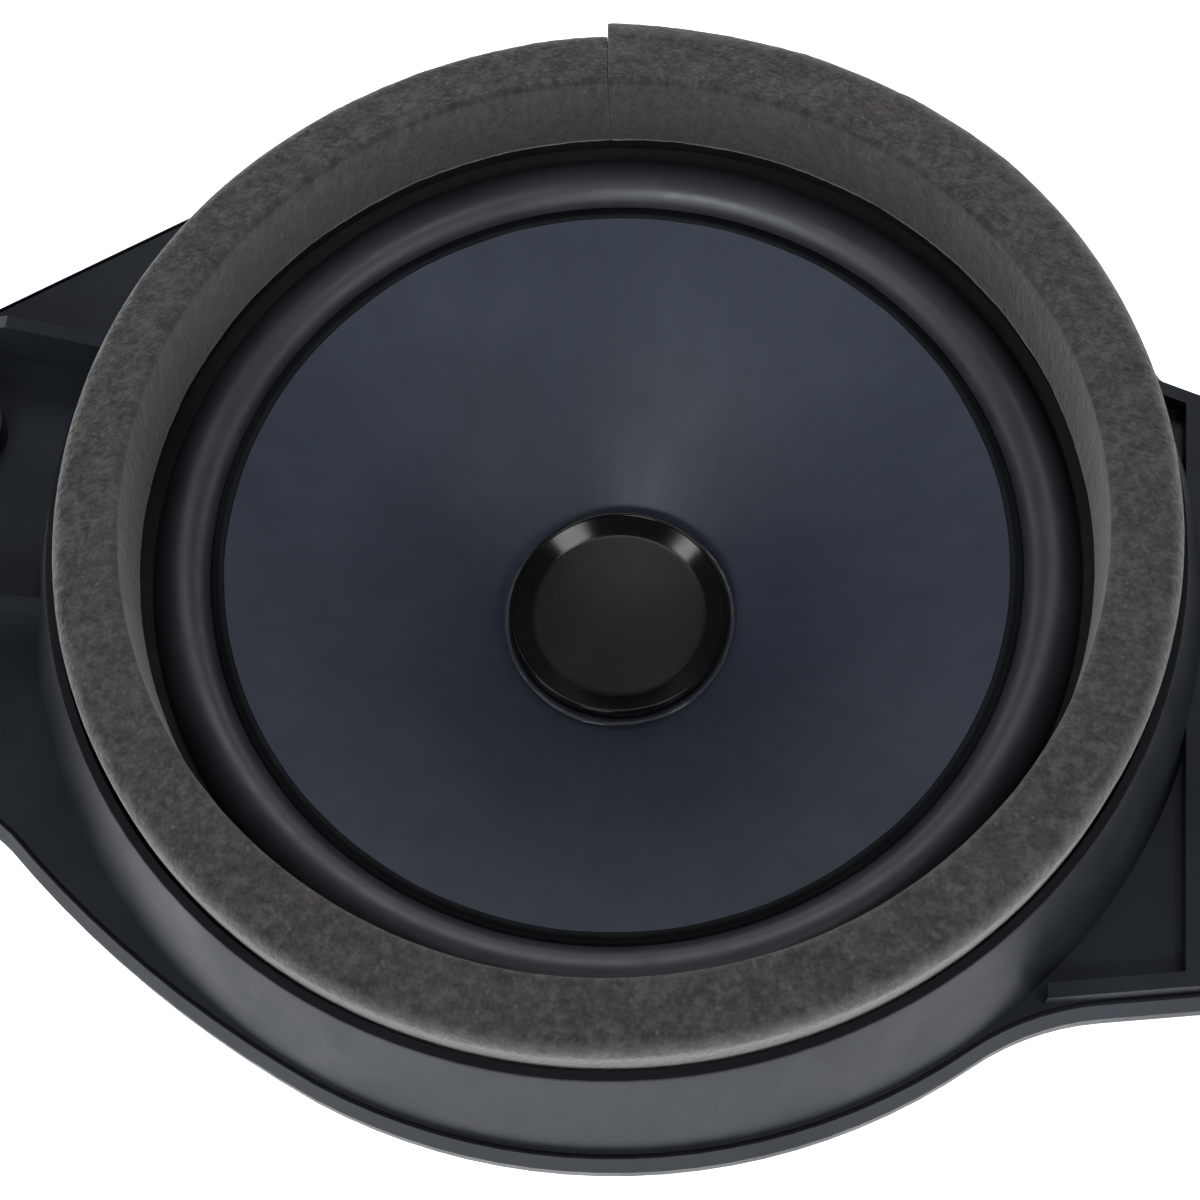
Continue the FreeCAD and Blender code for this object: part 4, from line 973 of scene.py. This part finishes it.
def make_lead(name, node, side, material):
    """A braided tinsel lead: seven strands laid each way about a core, over and under."""
    route = np.array(LEAD_ROUTE) * [side, 1, 1] * MM
    line = smooth_line(route)
    first, second = carried_frames(line)
    length = np.concatenate([[0], np.cumsum(np.linalg.norm(np.diff(line, axis=0), axis=1))])
    strands, radius, pitch = 7, 0.44 * MM, 5.2 * MM
    parts = []
    for hand in (-1, 1):
        for strand in range(strands):
            start = AXIS_TURN * strand / strands
            turn = start + hand * length / pitch * AXIS_TURN
            crossing = np.cos(strands * length / pitch * AXIS_TURN + hand * start * 2)
            reach = radius + hand * 0.055 * MM * crossing
            path = line + (first * np.cos(turn)[:, None] + second * np.sin(turn)[:, None]) \
                * reach[:, None]
            parts.append(tube(path, 0.115 * MM, 5))
    parts.append(tube(line, 0.36 * MM, 8))
    piece = joined(name, parts)
    dress(piece, material, None, "tinsel_braid", node)
    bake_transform(piece)


def lump(name, centre, size, seed, body, slot, material):
    """A small uneven drop of solder or glue."""
    work = bmesh.new()
    bmesh.ops.create_icosphere(work, subdivisions=4, radius=1.0)
    for vertex in work.verts:
        wave = noise.noise(vertex.co * 1.3 + Vector((seed, 0, 0)))
        vertex.co *= 1 + 0.28 * wave
        vertex.co = Vector((
            vertex.co.x * size[0], vertex.co.y * size[1], vertex.co.z * size[2]
        )) * MM + Vector(centre) * MM
    mesh = bpy.data.meshes.new(name)
    work.to_mesh(mesh)
    work.free()
    mesh.shade_smooth()
    return dress(add_object(name, mesh), material, body, slot)


def make_coil_wire(name, side, material):
    """The coil's end wire, laid up the back of the cone to its eyelet, in millimetres."""
    start, end = 13.6, 31.6
    points = []
    for share in np.linspace(0, 1, 8):
        radius = start + (end - start) * share
        sweep = math.radians(90 - side * (4 + 8.5 * share + 1.2 * math.sin(share * 9)))
        level = cone_level(radius * MM) / MM - 0.92
        points.append((radius * math.cos(sweep), radius * math.sin(sweep), level))
    line = smooth_line(np.array(points) * MM)
    piece = joined(name, [tube(line, 0.16 * MM, 7)])
    dress(piece, material, MOVING, "copper_wire")


def make_vent_screen(material):
    """A woven wire screen over the vent's mouth."""
    low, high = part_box("pole_vent_screen")
    level, reach = (low.z + high.z) / 2, high.x
    pitch, wire = 0.85 * MM, 0.13 * MM
    parts = []
    for axis in (0, 1):
        for index in range(-6, 7):
            offset = index * pitch
            half = math.sqrt(max(0.0, reach**2 - offset**2))
            if half < pitch:
                continue
            run = np.linspace(-half, half, 90)
            sign = 1 if (index + axis) % 2 else -1
            wave = level + sign * 0.13 * MM * np.cos(run / pitch * math.pi)
            flat = [run, np.full_like(run, offset)]
            line = np.stack([flat[axis], flat[1 - axis], wave], 1)
            parts.append(tube(line, wire, 6))
    piece = joined("vent_mesh", parts)
    dress(piece, material, FIXED, "screen_steel", "pole_vent_screen")


# ---------------------------------------------------------------- the whole scene

make_camera()
make_light()
make_floor()
looks = make_materials()
dress_cad_nodes(looks)
make_front_foam(looks["open_cell_foam"])
make_rear_foam(looks["seal_foam"])
make_surround(looks["surround_rubber"])
make_shaded_edge_glue(looks["edge_glue_and_shade"])
make_spider(looks["spider_cloth"])
make_glue_bead(looks["glue"])
make_neck_glue(looks["glue"])
make_lead("lead_braid_positive", "tinsel_lead_positive", 1, looks["tinsel_braid"])
make_lead("lead_braid_negative", "tinsel_lead_negative", -1, looks["tinsel_braid"])
for sign, word in ((1, "positive"), (-1, "negative")):
    lump(f"solder_{word}", (5.0 * sign, 60.0, 37.7), (1.3, 1.0, 1.2), 3 + sign, FIXED,
         "tin_brass", looks["tin_brass"])
    lump(f"eyelet_glue_{word}", (7.0 * sign, 33.2, 47.9), (2.5, 1.6, 0.7), 7 + sign, MOVING,
         "glue", looks["glue"])
    make_coil_wire(f"coil_wire_{word}", sign, looks["copper_wire"])
make_vent_screen(looks["screen_steel"])
